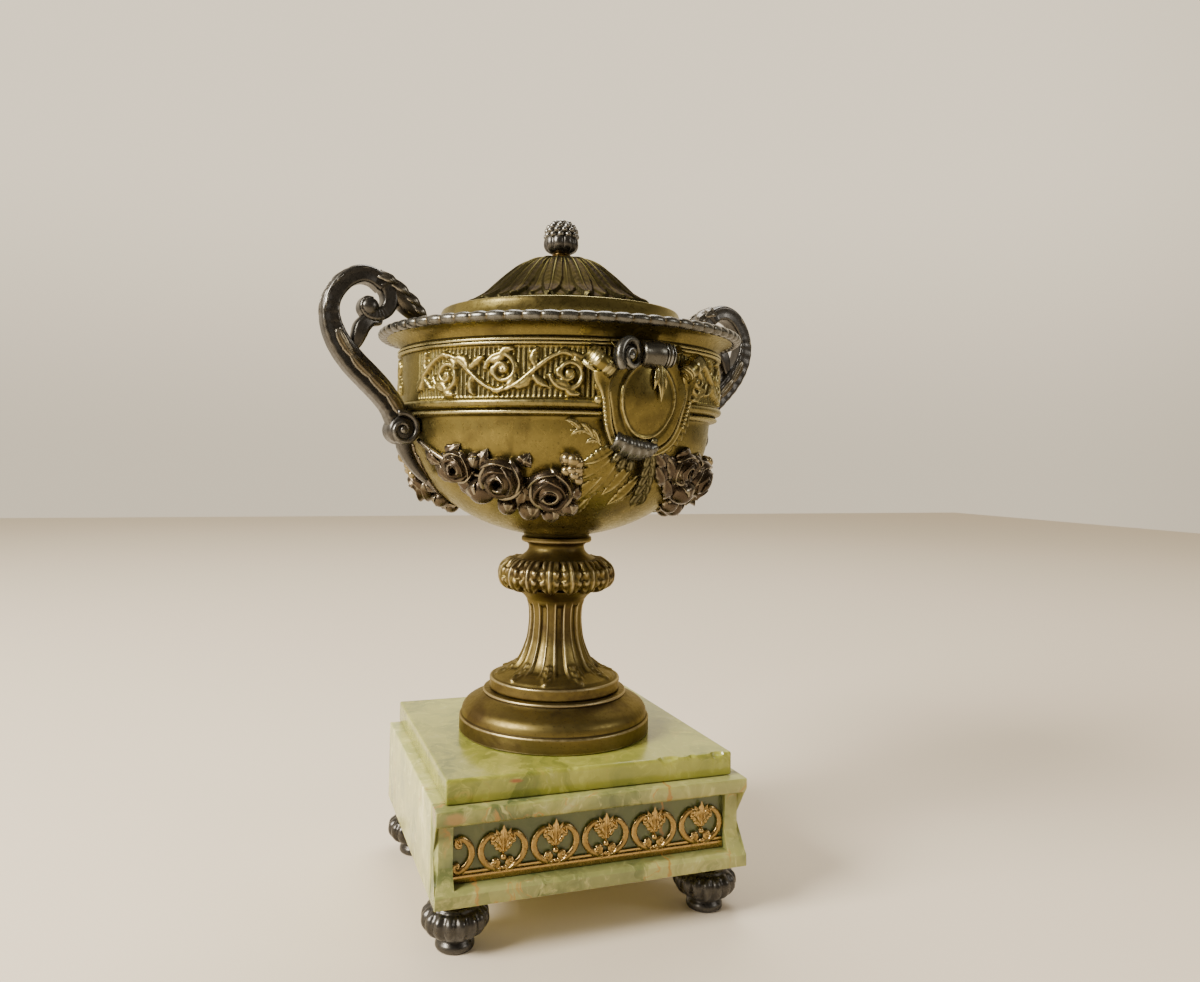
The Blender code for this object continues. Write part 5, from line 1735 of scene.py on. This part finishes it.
@dataclass
class Handles:
    """Pair of scrolled handles with acanthus sheaths, made in the XZ plane."""

    thick: float = 4.6
    broad: float = 6.4
    volute: tuple[float, float] = (93.0, 244.8)

    def parts(self) -> list[Patch]:
        """All bars, leaves and volutes of the right handle.

        Returns:
            The handle's patches.
        """
        out: list[Patch] = []

        def flat(points: Sequence[tuple[float, float]], steps: int = 10) -> Array:
            """Curve through (r, z) stations, in the XZ plane."""
            c = curve(points, steps)
            return np.column_stack([c[:, 0], np.zeros(len(c)), c[:, 1]])

        def hollow(q: Array, ss: Array) -> Array:
            """Channel down the outer and inner faces, between rounded edges, with shallow leaf nicks.

            Args:
                q: Angle round the section.
                ss: Share of the way along the bar.

            Returns:
                Share added to the section.
            """
            outer = ramp(0.55, 0.9, -np.cos(q))
            inner = ramp(0.55, 0.9, np.cos(q))
            nicks = 0.020 * np.cos(TAU * ss * 22) * ramp(0.35, 0.75, np.abs(np.sin(q))) * ramp(0.30, 0.4, ss)
            return -0.14 * outer * hump(np.sin(q), 0.42) - 0.10 * inner * hump(np.sin(q), 0.5) + nicks

        main = flat([(103.6, 318.6), (108.6, 322.4), (115, 323.6), (121.6, 320.9), (126.6, 315.6),
                     (129.8, 309), (130.5, 302), (128.5, 294),
                     (124, 285.6), (117.8, 277.6), (110.8, 270.8), (103.8, 264.2), (98, 257.6),
                     (94.8, 251.4), (93.4, 247.0)], 9)
        s = shares(len(main))
        thick = self.thick + 0.4 * hump(s - 0.2, 0.12) + 1.7 * ramp(0.34, 0.60, s)
        broad = self.broad * (0.95 + 0.14 * ramp(0.55, 1.0, s) + 0.10 * hump(s - 0.15, 0.1))
        flow = np.gradient(main, axis=0)
        up = np.column_stack([flow[:, 2], 0 * flow[:, 0], -flow[:, 0]])
        up /= -np.linalg.norm(up, axis=1, keepdims=True)
        out.append(bar(main, thick, broad, sides=26, square=0.60, groove=1.3, ribs=hollow))
        n = len(main)
        first, last = int(0.50 * n), int(0.93 * n)
        belly = np.sin(np.pi * np.linspace(0.10, 0.92, last - first))[:, None] ** 0.5
        inner = main[first:last] - up[first:last] * (self.thick + 0.5) * belly
        k = shares(len(inner))
        out.append(bar(inner, 2.3 * np.sin(np.pi * (0.1 + 0.85 * k)) ** 0.5, self.broad * 0.86, sides=16,
                       square=0.7, groove=0.7))
        curl = flat([(103.4, 320.2), (100.6, 315.4), (100.3, 310), (102.4, 305.8), (106.4, 303.6),
                     (110.8, 303.8), (113.4, 306.6), (112.4, 309.8), (109.6, 309.8)], 9)
        k = shares(len(curl))
        out.append(bar(curl, 5 * (1 - 0.42 * k), self.broad * (1.02 - 0.12 * k), sides=24, square=0.7,
                       groove=0.9, ribs=hollow))
        for y in (-3.6, 3.6):
            out.append(bead((110.8, y, 307.2), 4.6, 0.72, 20, axis=(0, 1, 0)))
        sheath = flat([(81.2, 302), (84, 304.2), (88.2, 307.4), (92.4, 311.4), (96.4, 315.6),
                       (101.0, 319.8), (107.0, 322.6)], 10)
        k = shares(len(sheath))
        out.append(bar(sheath, 2.6 + 2.6 * ramp(0, 0.6, k), 4.2 + 2.2 * hump(k - 0.45, 0.4), sides=24,
                       square=0.8, tone=0.1))
        blades = ((108, 325.2, 96.6, 319.2), (101.5, 322.8, 89.6, 313.4), (94.6, 317.2, 83.8, 308),
                  (89.2, 311.6, 80.6, 302.8))
        for row, (r0, z0, r1, z1) in enumerate(blades):
            for side in (-1, 1):
                s2 = shares(18)
                r = r0 + (r1 - r0) * s2
                z = z0 + (z1 - z0) * s2 + 1.2 * np.sin(np.pi * s2)
                y = side * (1.0 + 4.6 * np.sin(np.pi * 0.66 * s2))
                face = (-0.40, side * 0.85, 0.60)
                out.append(leaf(np.column_stack([r, y, z]), face, 4.6 - 0.3 * row, relief=1.5, lobes=2,
                                cut=0.10, cup=0.8, tip=0.6, back=2.0, tone=0.15))
        out.append(bead((84.6, 0, 309), 2.8, 1, 18))
        out.append(bead((88, 0, 311.4), 1.9, 1, 12))
        for start, stop in ((0.03, 0.22), (0.16, 0.34), (0.28, 0.45)):
            run, lift = main[int(start * n) : int(stop * n)][::-1], up[int(start * n) : int(stop * n)][::-1]
            for side in (-1, 1):
                path = run + lift * (self.thick * 0.84) + np.array([0, side * self.broad * 0.5, 0])
                out.append(leaf(path, lift + np.array([0, 0.45 * side, 0]), 3, relief=0.7, lobes=3,
                                cut=0.15, tip=0.6, back=1.4))
        spur = flat([(104, 300.2), (109.6, 300.6), (113.6, 297.6), (115.4, 293), (117, 288.2),
                     (120.4, 282.6)], 9)
        k = shares(len(spur))
        out.append(bar(spur, 1.8 + 2.6 * np.sin(np.pi * k**0.8), 3.4 + 2.0 * np.sin(np.pi * k), sides=24,
                       square=0.8, groove=0.9))
        tipped = flat([(114.2, 291.6), (116.4, 297.4), (113.2, 302.2), (108.6, 303.2)], 8)
        out.append(leaf(tipped, (-0.3, 0, 0.8), 4.2, relief=1.6, lobes=2, cut=0.1, back=2))
        for side in (-1, 1):
            for a, b, width in ((0.50, 0.66, 3), (0.60, 0.76, 3.1), (0.70, 0.86, 3.2), (0.80, 0.95, 3.2)):
                run = main[int(a * n) : int(b * n)] - 1.2 * up[int(a * n) : int(b * n)]
                wide = np.interp(np.linspace(a, b, len(run)), shares(n), broad)
                path = run + np.column_stack([0 * wide, side * (wide - 1.0), 0 * wide])
                out.append(leaf(path, (0, side, 0), width, relief=1, lobes=2, cut=0.15, tip=0.6, back=1.6,
                                tone=0.3))
        volute_x, volute_z = self.volute
        for y in (-1, 1):
            coil = spiral(1.6, 8.9, 1.0, math.radians(70), 90)
            path = np.column_stack([volute_x + coil[:, 0], np.full(90, y * 6), volute_z + coil[:, 1]])
            k = shares(90)
            out.append(bar(path, 1.9 - 0.8 * k, 3.3 - 0.6 * k, sides=16, square=0.75))
            out.append(bead((volute_x, y * 7.6, volute_z), 2.2, 0.8, 14, axis=(0, 1, 0)))
        drum = []
        for y, r in ((-7.4, 5.6), (-6.8, 7), (0, 6.8), (6.8, 7), (7.4, 5.6)):
            q = angles(40)
            drum.append(np.stack([volute_x + r * np.cos(q), np.full(40, y), volute_z + r * np.sin(q)], -1))
        out.append(Patch(np.stack(drum)))
        tail = flat([(90.6, 240.6), (89.8, 235), (86.2, 228.4), (81.6, 222.6), (77.8, 218.8)], 8)
        k = shares(len(tail))
        out.append(bar(tail, 4.6 * (1 - 0.62 * k), 6.2 * (1 - 0.55 * k), sides=24, groove=0.6,
                       ribs=lambda q, s: -0.12 * hump(np.sin(q), 0.35)))
        return out

    def build(self) -> None:
        """Makes both handles."""
        for name, turn in (("handle_right", 0.0), ("handle_left", np.pi)):
            piece(f"scrolled_{name}", self.parts(), DARK, name, turn=turn + TURN)


@dataclass
class Ornaments:
    """Cartouches and garlands laid on the bowl."""

    bowl: Bowl = field(default_factory=Bowl)
    medallion_half_width: float = 14.5
    medallion_half_height: float = 17.4
    middle: float = 260.2

    def shield(self) -> Patch:
        """Smooth barrel-shaped shield with its oval medallion, as a low relief over the bowl.

        Formula: polar grid in arc length u and height v; the outline R(q) bounds it, and its height is a
        plateau with a rolled edge, plus the medallion's rim and domed field.

        Returns:
            The shield.
        """
        count, rows = 150, 48
        q = np.arange(count) * TAU / count
        stations = [(0, 23), (14, 24.7), (25, 24.3), (43, 24.8), (58, 27.6), (76, 28.2), (90, 28),
                    (104, 28.2), (122, 27.6),
                    (137, 24.8), (155, 24.3), (166, 24.7), (180, 23), (196, 22.3), (213, 23.7), (230, 25.4),
                    (247, 25.4), (270, 24.6), (293, 25.4), (310, 25.4), (327, 23.7), (344, 22.3)]
        deg = np.array([station[0] for station in stations] + [360.0])
        rad = np.array([station[1] for station in stations] + [stations[0][1]])
        outline = np.interp(np.degrees(q), deg, rad)
        for _ in range(8):
            outline = 0.5 * outline + 0.25 * (np.roll(outline, 1) + np.roll(outline, -1))
        t = np.concatenate([np.linspace(0.015, 0.94, rows - 8), np.linspace(0.955, 1, 8)])[:, None]
        u = t * outline * np.cos(q)
        v = t * outline * np.sin(q)
        oval = np.sqrt((u / self.medallion_half_width) ** 2 + (v / self.medallion_half_height) ** 2)
        body = 5.4 * ramp(1.0, 0.88, t) + 0.7 * dome_over(t) + 1.1 * ramp(1.10, 1.5, oval)
        rim = 0.9 * hump((oval - 1.0) * 15,
                         0.8) - 0.8 * hump((oval - 1.09) * 15, 0.9) - 0.7 * ramp(1.0, 0.94, oval)
        rim += 1.6 * dome_over(oval / 0.95)
        lift = body + rim * ramp(1.0, 0.93, t)
        surface = self.on(u, v, lift)
        under = self.on(u[-1:], v[-1:], -2.0)
        inner = self.on(u[-1:] * 0.05, v[-1:] * 0.05, -2.0)
        return Patch(np.concatenate([surface, under, inner]))

    def on(self, u: Array, v: Array, lift: Array | float) -> Array:
        """Point over the bowl at arc length u and height v from the medallion's centre."""
        u = np.asarray(u, float)
        return self.bowl.point(u / (self.bowl.frieze_radius + 4), self.middle + np.asarray(v, float),
                               lift + 0 * u)

    def cartouche(self) -> tuple[list[Patch], list[Patch], list[Patch]]:
        """Gilt shield with its straps, rolled ends and leaves; its worn roll and shell; its dark husks.

        Returns:
            The patches of the three finishes.
        """
        parts = [self.shield()]
        worn: list[Patch] = []
        husks: list[Patch] = []
        slant = 0.35
        turn = np.array([math.cos(slant), math.sin(slant), 0.0])
        faced = np.array([-math.sin(slant), -math.cos(slant), 0.0])
        upward = np.array([0.0, 0.0, 1.0])
        coil = spiral(1.55, 8.9, 1.4, math.radians(-40), 110)
        eye = np.array([-10.4, -92.0, 280.4]) + 0.6 * faced
        path = eye - coil[:, :1] * turn + coil[:, 1:] * upward
        k = shares(110)
        worn.append(bar(path, 2.5 - 1 * k, 4.9 - 0.8 * k, up=tuple(faced), sides=20, square=0.75))
        q = angles(40)
        rim = np.cos(q)[:, None] * turn + np.sin(q)[:, None] * upward
        worn.append(Patch(np.stack([eye + r * rim + d * faced for d,
                                    r in ((-4.4, 7), (1.2, 7), (2, 5.4), (2.2, 1))])))
        worn.append(bead(eye + 2.6 * faced, 2.3, 0.9, 14, axis=faced))
        x = np.linspace(-5.0, 11.8, 70)
        flare = (x + 5.0) / 16.8
        swell = 6.3 + 0.7 * hump(x - 3.4, 4.0)
        for line, deep in ((6.6, 1.3), (8.2, 0.7), (10.6, 1.3)):
            swell = swell - deep * hump(x - line, 0.5)
        swell = swell * (1 - 0.35 * ramp(0.97, 1.0, flare))
        worn.append(Patch(np.stack([x[:, None] + 0 * q[None], -93.4 + 0.98 * swell[:, None] * np.cos(q),
                                    281.8 + swell[:, None] * np.sin(q)], -1)))
        pendant = ((3.6, 17.5, 4.6, -1.5, 2.3), (2.8, 16, 0.9, 4.5, 1.7), (4.6, 16, 7.6, 5, 1.7),
                   (3.4, 14, 2.6, 8.6, 1.5), (4.2, 13, 6, 9, 1.5))
        for u0, v0, u1, v1, wide in pendant:
            s = shares(24)
            path = self.on(u0 + (u1 - u0) * s, v0 + (v1 - v0) * s,
                           7.6 + (0.7 if wide > 2 else 0.1) + 0.8 * np.sin(np.pi * s))
            parts.append(leaf(path, self.bowl.normal(0, 265), wide, relief=0.9, lobes=2, cut=0.15, back=1.6))
        for side in (-1, 1):
            face = self.bowl.normal(side * 0.27, 277.0)
            middle = self.on(side * 25.0, 15.8, 6.6)
            axis = self.on(side * 28.0, 19.7, 6.6) - self.on(side * 19.0, 12.5, 6.6)
            axis /= np.linalg.norm(axis)
            across = np.cross(face, axis)
            across /= np.linalg.norm(across)
            if across[2] > 0:
                across = -across
            lifted = np.cross(axis, across)
            lifted = lifted if lifted @ face > 0 else -lifted
            roll = spiral(1.15, 4.7, 2.3, math.radians(-165), 42)
            path = middle + roll[:, :1] * -across + roll[:, 1:] * lifted
            s = shares(42)
            run_up = self.on(side * np.array([16, 17.2, 18.6]), np.array([26, 25, 23.6]),
                             np.array([0.0, 3.6, 6.6]))
            parts.append(bar(path, 1.1, 7.4 - 1.2 * s, up=tuple(axis), sides=64, square=0.55,
                             ribs=lambda q, s: 0.34 * np.cos(22 * q) * ramp(0.25, 0.6, np.abs(np.cos(q)))))
            for reach, size in ((-5.4, 3.2), (5.4, 3.2)):
                parts.append(bead(middle + reach * axis, size, 0.6, 20, axis=axis))
            parts.append(leaf(curve(run_up, 8), tuple(face), 4, relief=0.6, lobes=1, cut=0, back=3))
            strap = curve(self.on(side * np.array([24, 23.9, 23.2, 22.2, 21.4, 20.6, 19.2, 16.2, 10.5, 4]),
                                  np.array([12.5, 8, 3, -2, -6.5, -11, -15, -19.6, -23, -24.6]),
                                  np.array([6.4, 5.6, 5.2, 5, 5, 5, 5, 5, 5, 5])), 9)
            s = shares(len(strap))
            wide = 2.0 + 3.0 * ramp(0.30, 0.0, s) - 0.5 * ramp(0.7, 1.0, s)
            parts.append(bar(strap, wide, 2.2, up=tuple(face), sides=18, square=0.8, groove=0.8,
                             ribs=lambda q, s: 0.10 * np.cos(12 * q) * ramp(0.34, 0.1, s)))
            for bead_at in range(24, 50, 4):
                parts.append(bead(strap[bead_at] + 1.7 * face + side * np.array([1.5, 0, 0]), 0.9, 1, 8))
            parts.append(bead(self.on(side * 25.6, -1, 4), 2.3, 0.9, 14, axis=face))
        low = curve(self.on(np.array([8, 15, 21.5, 27.5, 33]), np.array([-21.5, -18.5, -13, -6.5, -0.5]),
                            np.array([3.4, 3.8, 3.2, 2.4, 1])), 10)
        normal = self.bowl.normal(np.full(len(low), 0.25), np.full(len(low), 250.0))
        parts.append(leaf(low, normal, 7.4, relief=1.2, lobes=9, cut=0.34, back=5, columns=13, root=0.5))
        for k in range(5):
            q2 = (k - 2) / 2.0
            s = shares(24)
            path = self.on(-5.0 + q2 * (7.0 + 3.4 * s), -17.5 - 1.4 * q2 - 10.5 * s * (1 - 0.25 * q2**2),
                           5.4 + 3.4 * np.sin(np.pi * s**0.8) - 2.6 * s**3)
            worn.append(leaf(path, self.bowl.normal(q2 * 0.1, 236), 4.2, relief=1.3, lobes=1, cut=0,
                             back=3.2, root=0.8, tip=0.4))
        drops = ((-8, -26, -10.5, -34, 2.6), (-4, -27, -4, -34.5, 2.4), (-11.0, -24.0, -15.0, -30.0, 2.2))
        for u0, v0, u1, v1, wide in drops:
            s = shares(20)
            path = self.on(u0 + (u1 - u0) * s, v0 + (v1 - v0) * s, 3.0 + 1.6 * np.sin(np.pi * s) - 1.2 * s)
            husks.append(leaf(path, self.bowl.normal(0, 232), wide, relief=1.2, lobes=2, cut=0.15, back=3.0))
        for k in range(6):
            s = shares(20)
            for lean_to in (-1, 1):
                path = self.on(5.6 + 1.35 * k + lean_to * (1.8 + 0.3 * k) * np.sin(np.pi * 0.8 * s),
                               -19.5 - 4.6 * k - 8.0 * s, 4.6 - 0.35 * k + 1.0 * np.sin(np.pi * s))
                husks.append(leaf(path, self.bowl.normal(0.1, 236 - 5 * k), 1.9 + 0.15 * k, relief=1, lobes=2,
                                  cut=0.12, back=2.4))
        husks.append(bead(self.on(5.4, -18.6, 6.4), 1.9, 1, 14))
        s = shares(50)
        stem = self.on(-21 - 17 * s, -22.0 + 7.0 * np.sin(1.9 * s), 0.0)
        parts.append(bar(stem, 0.62 * (1 - 0.5 * s), 0.5, up=tuple(self.bowl.normal(-0.3, 243)), sides=8))
        sprays = ((-23, -20.5, -30, -21.5), (-26, -18, -33, -12), (-30, -15.6, -38, -17.8),
                  (-33, -14.6, -41, -10.6), (-22, -21, -27, -14.5))
        for u0, v0, u1, v1 in sprays:
            k = shares(24)
            u, v = u0 + (u1 - u0) * k, v0 + (v1 - v0) * k + 1.2 * np.sin(np.pi * k)
            along = self.on(u, v, 0.1 + 0.2 * np.sin(np.pi * k))
            parts.append(leaf(along, self.bowl.normal(u / 92, 260.2 + v), 1.7, relief=0.6, lobes=3, cut=0.2,
                              back=2.0))
        return parts, worn, husks

    def rose(self, azimuth: float, z: float, radius: float, relief: float, seed: int) -> list[Patch]:
        """A full rose: three rings of bulging petals that overlap round a tube with a dark heart.

        Formula of a petal: across x and up t, distance from the axis rho = R (a + b sin(pi t^0.9) + 0.07 x)
        with the lip rolled out, height h = H t (1 - c x^2).

        Args:
            azimuth: Its place round the bowl.
            z: Its height.
            radius: Its radius.
            relief: How far it stands out.
            seed: Seed of its petals' draws.

        Returns:
            The rose's patches.
        """
        base = self.bowl.point(azimuth, z, 0.0)
        out = self.bowl.normal(azimuth, z)
        side = np.array([math.cos(azimuth), math.sin(azimuth), 0.0])
        up = np.cross(out, side)

        def lay(x: Array, y: Array, h: Array) -> Array:
            """Flat coordinates about the rose's axis to space."""
            return base + x[..., None] * side + y[..., None] * up + h[..., None] * out

        rng = np.random.default_rng(seed)
        parts = []
        q = angles(28)[None]
        body = curve([(0.80, -2.5), (0.84, 0.25 * relief), (0.72, 0.52 * relief), (0.56, 0.68 * relief),
                      (0.40, 0.80 * relief), (0.28, 0.82 * relief), (0.20, 0.40 * relief)], 4)
        core_r = radius * body[:, :1] * (1 + 0.03 * np.cos(3 * q))
        parts.append(Patch(lay(core_r * np.cos(q), core_r * np.sin(q), body[:, 1:] + 0 * q)))
        rings = ((4, 0.82, 0.17, 0.66, 1.50, 0.30), (3, 0.60, 0.13, 0.90, 1.42, 0.26),
                 (2, 0.30, 0.07, 1.02, 1.30, 0.16))
        for count, near, bulge, top, share, droop in rings:
            phase = rng.uniform(0, TAU)
            for k in range(count):
                middle = phase + TAU * k / count + rng.uniform(-0.15, 0.15)
                span = TAU / count * share / 2
                x = np.linspace(-1, 1, 15)[None]
                t = shares(12)[:, None]
                reach = top * (1 + 0.10 * rng.uniform(-1, 1))
                roll = ramp(0.74, 1.0, t)
                rho = radius * (near + bulge * np.sin(np.pi * t**0.9) + 0.06 * x + 0.085 * roll)
                h = relief * reach * (t**0.85) * (1 - droop * np.abs(x) ** 2.5) - 0.06 * relief * roll**2
                angle = middle + span * x * (1 - 0.15 * t)
                face = lay(rho * np.cos(angle), rho * np.sin(angle), h)
                inner_rho = rho - 1.35 * (1 - 0.35 * roll)
                under = lay(inner_rho * np.cos(angle), inner_rho * np.sin(angle), h - 0.2 - 1.1 * roll)
                parts.append(Patch(np.concatenate([face, under[:, ::-1]], axis=1)))
        return parts

    def swag(self) -> tuple[list[Patch], list[Patch]]:
        """One garland from the left handle to the front cartouche: dark flowers, and low gilt leaves.

        Returns:
            The patches of the two finishes.
        """
        start = -np.pi / 2
        parts: list[Patch] = []
        gilt: list[Patch] = []
        roses = ((25.2, 228, 9.2, 9.5), (42.4, 223.2, 11.6, 12.4), (60, 218.4, 11.4, 12.4))
        for k, (deg, z, radius, relief) in enumerate(roses):
            parts += self.rose(start + math.radians(deg), z, radius, relief, k + 1)
        buds = ((32.6, 217.6, 7.2, 9), (50.6, 208.6, 6, 7.5), (33.2, 231, 4.2, 5), (67.6, 209.4, 4.8, 5.5),
                (40, 209.2, 5, 5), (59.4, 205.6, 4.6, 5))
        for deg, z, radius, relief in buds:
            centre = self.bowl.point(start + math.radians(deg), z, relief * 0.35)
            axis = self.bowl.normal(start + math.radians(deg), z) + np.array([0.3, 0, -0.4])
            along = axis / np.linalg.norm(axis)
            parts.append(bead(centre, radius, 1.05, 24, axis=axis))
            for k in range(3):
                s = shares(16)[:, None]
                q = angles(3)[k] + deg
                swing = radius * (np.sin(np.pi * s) * np.array([math.cos(q), math.sin(q), 0.3]))
                path = centre + swing * 0.95 + along * radius * (-0.8 + 1.9 * s)
                parts.append(leaf(path, swing + 0.3 * along, radius * 0.62, relief=0.7, lobes=2, cut=0.1,
                                  back=0.6))
        rng = np.random.default_rng(5)
        for _ in range(13):
            deg = 67.6 + rng.uniform(-2.6, 2.6)
            z = 228.6 + rng.uniform(-4.6, 4.6)
            centre = self.bowl.point(start + math.radians(deg), z, 3.2 + rng.uniform(0, 3.2))
            parts.append(bead(centre, 2.5 + rng.uniform(0, 0.8), 1, 12, tone=0.7))
        dark_leaves = [(16, 233, 23, 220, 4.6), (20, 222, 31, 211, 5.2), (34, 226, 38, 236, 4.8),
                       (31, 224, 29, 212, 4.4), (50, 216, 46, 203, 4.8),
                       (44, 212, 56, 205, 5), (58, 210, 68, 204, 4.8), (50, 228, 53, 234, 4.6),
                       (66, 219, 72, 212, 4.6), (20, 232, 27, 238, 4.4),
                       (51, 222, 54, 212, 5), (8, 236, 15, 227, 4), (11, 229, 19, 218, 4.2)]
        gilt_leaves = [(83, 238, 70, 229, 5.4), (82, 234, 68, 221, 6), (84, 232, 73, 212, 6),
                       (79, 224, 66, 208, 5.4), (76, 214, 64, 203, 4.4),
                       (95, 224, 86, 209, 4.6), (90, 230, 81, 214, 4.8)]
        kinds = ((dark_leaves, parts, 1.1, 2.8, 0.22, 4), (gilt_leaves, gilt, 1.15, 0.35, 0.30, 7))
        for rows, into, relief, lift, cut, lobes in kinds:
            for deg0, z0, deg1, z1, wide in rows:
                s = shares(24)
                az = start + np.radians(deg0 + (deg1 - deg0) * s)
                zz = z0 + (z1 - z0) * s - (2.0 * np.sin(np.pi * s) if into is gilt else 0)
                path = self.bowl.point(az, zz, 0.3 + lift * np.sin(np.pi * s))
                into.append(leaf(path, self.bowl.normal(az, zz), wide, relief=relief, lobes=lobes, cut=cut,
                                 cup=0.3, back=3.0, columns=11, tip=0.7))
        s = shares(40)
        az = start + np.radians(4 + 40 * s)
        vine = self.bowl.point(az, 240 - 20 * np.sin(s * 1.4), 1.4 + 0 * s)
        parts.append(bar(vine, 1.3, 1.3, up=(0, 0, 1), sides=12))
        return parts, gilt

    def build(self) -> None:
        """Makes both cartouches and the four garlands."""
        for name, turn in (("cartouche_front", 0.0), ("cartouche_back", np.pi)):
            parts, worn, husks = self.cartouche()
            for prefix, patches, finish in (("carved", parts, GILDED), ("worn", worn, RIM_GREY),
                                            ("husks", husks, LID_DARK)):
                piece(f"{prefix}_{name}", patches, finish, name, turn=turn + TURN, passes=1)
        for k, corner in enumerate(("front_left", "front_right", "back_right", "back_left")):
            name, turn = f"garland_{corner}", k * np.pi / 2 + TURN
            parts, gilt = self.swag()
            if k % 2:
                piece(f"rose_{name}", parts + gilt[:4], ROSE_BROWN, name, turn=turn)
            else:
                piece(f"rose_{name}", parts, ROSE_BROWN, name, turn=turn)
                piece(f"leaf_{name}", gilt, GILDED, name, turn=turn, passes=1)


# Studio


@dataclass
class Studio:
    """Floor, soft lights and the camera at the photograph's angle. Sizes in metres."""

    eye: tuple[float, float, float] = (-0.1624, -0.4857, 0.2319)
    yaw: float = 0.3314
    pitch: float = 0.0416
    roll: float = 0.0158
    focal_pixels: float = 904.22
    centre_pixel: tuple[float, float] = (566.37, 420.0)
    picture: tuple[int, int] = (1200, 982)

    def camera(self) -> None:
        """Camera from its place, its three turns and the pixel that it looks at."""
        data = bpy.data.cameras.new("photo_camera")
        data.sensor_width = SENSOR
        data.lens = self.focal_pixels / self.picture[0] * SENSOR
        data.shift_x = (self.picture[0] / 2 - self.centre_pixel[0]) / self.picture[0]
        data.shift_y = (self.centre_pixel[1] - self.picture[1] / 2) / self.picture[0]
        data.clip_start = 0.01
        camera = bpy.data.objects.new("photo_camera", data)
        level = math.cos(self.pitch)
        forward = Vector((math.sin(self.yaw) * level, math.cos(self.yaw) * level, math.sin(self.pitch)))
        right = Vector((math.cos(self.yaw), -math.sin(self.yaw), 0.0))
        up = right.cross(forward)
        r = right * math.cos(self.roll) + up * math.sin(self.roll)
        u = up * math.cos(self.roll) - right * math.sin(self.roll)
        camera.matrix_world = Matrix(((r.x, u.x, -forward.x, self.eye[0]),
                                      (r.y, u.y, -forward.y, self.eye[1]),
                                      (r.z, u.z, -forward.z, self.eye[2]), (0, 0, 0, 1)))
        bpy.context.scene.collection.objects.link(camera)
        bpy.context.scene.camera = camera

    def light(self, name: str, place_at: tuple[float, float, float], size: float, power: float,
              colour: Colour) -> None:
        """A soft square lamp aimed at the urn.

        Args:
            name: Name of the lamp.
            place_at: Its place.
            size: Side of the square.
            power: Its power in watts.
            colour: Its colour.
        """
        data = bpy.data.lights.new(name, "AREA")
        data.energy = power
        data.size = size
        data.color = colour
        lamp = bpy.data.objects.new(name, data)
        lamp.location = place_at
        aim = Vector((0, 0, 0.2)) - Vector(place_at)
        lamp.rotation_euler = aim.to_track_quat("-Z", "Y").to_euler()
        bpy.context.scene.collection.objects.link(lamp)

    def build(self) -> None:
        """Makes the floor, the lights, the world and the camera."""
        rows = np.linspace(-3.0, 3.0, 8)
        x, y = np.meshgrid(rows, rows)
        mesh = bpy.data.meshes.new("studio_floor")
        index = np.arange(64).reshape(8, 8)
        faces = np.stack([index[:-1, :-1], index[:-1, 1:], index[1:, 1:], index[1:, :-1]], -1).reshape(-1, 4)
        mesh.from_pydata(np.stack([x, y, 0 * x - 0.0002], -1).reshape(-1, 3).tolist(), [], faces.tolist())
        paper = bpy.data.materials.new("pale_floor")
        paper.use_nodes = True
        shader = paper.node_tree.nodes["Principled BSDF"]
        shader.inputs["Roughness"].default_value = 0.85
        wiring = Wiring(paper.node_tree)
        # The floor's colour pales with distance from the urn: a painted gradient of light that brightens the
        # far floor where the lamps fall off.
        where = wiring.add("ShaderNodeTexCoord").outputs["Object"]
        away = wiring.vector("LENGTH", where, out="Value")
        blend = wiring.mix(wiring.span(away, 0.4, 2.4), (0.72, 0.62, 0.48), (1, 0.89, 0.71))
        paper.node_tree.links.new(blend, shader.inputs["Base Color"])
        mesh.materials.append(paper)
        floor = bpy.data.objects.new("studio_floor", mesh)
        bpy.context.scene.collection.objects.link(floor)
        self.light("key_left", (-1.5, -0.35, 1.10), 0.7, 80, (1, 0.96, 0.88))
        self.light("fill_right", (1.3, -1.1, 0.9), 0.5, 6, (1, 0.98, 0.94))
        self.light("top_soft", (0.3, 0.7, 1.7), 0.9, 22, (1, 0.98, 0.95))
        world = bpy.data.worlds.new("studio_air")
        world.use_nodes = True
        wiring = Wiring(world.node_tree)
        where = wiring.add("ShaderNodeTexCoord").outputs["Generated"]
        split = wiring.add("ShaderNodeSeparateXYZ", {0: where})
        air = world.node_tree.nodes["Background"]
        air.inputs[0].default_value = (1.0, 0.855, 0.64, 1)
        leftward = wiring.math("SUBTRACT", split.outputs[1], wiring.math("MULTIPLY", split.outputs[0], 0.45))
        round_urn = wiring.span(leftward, -0.55, 0.40, 0.22, 1.28)
        overhead = wiring.span(split.outputs[2], 0.45, 0.90, 1.0, 0.40)
        low = wiring.span(split.outputs[2], -0.02, 0.30, 0.72, 1.06)
        strength = wiring.math("MULTIPLY", wiring.math("MULTIPLY", round_urn, overhead), low)
        world.node_tree.links.new(strength, air.inputs[1])
        bpy.context.scene.world = world
        self.camera()


def main() -> None:
    """Loads the frame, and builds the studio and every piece."""
    logging.basicConfig(level=logging.INFO, format="%(message)s")
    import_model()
    Studio().build()
    bowl = Bowl()
    for assembly in (BunFeet(), Plinth(), GiltArches(), Stand(), bowl, Lid(), Handles(), Ornaments(bowl)):
        LOG.info("%s", type(assembly).__name__)
        assembly.build()
    bpy.context.view_layer.update()
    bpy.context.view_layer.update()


if __name__ == "__main__":
    main()
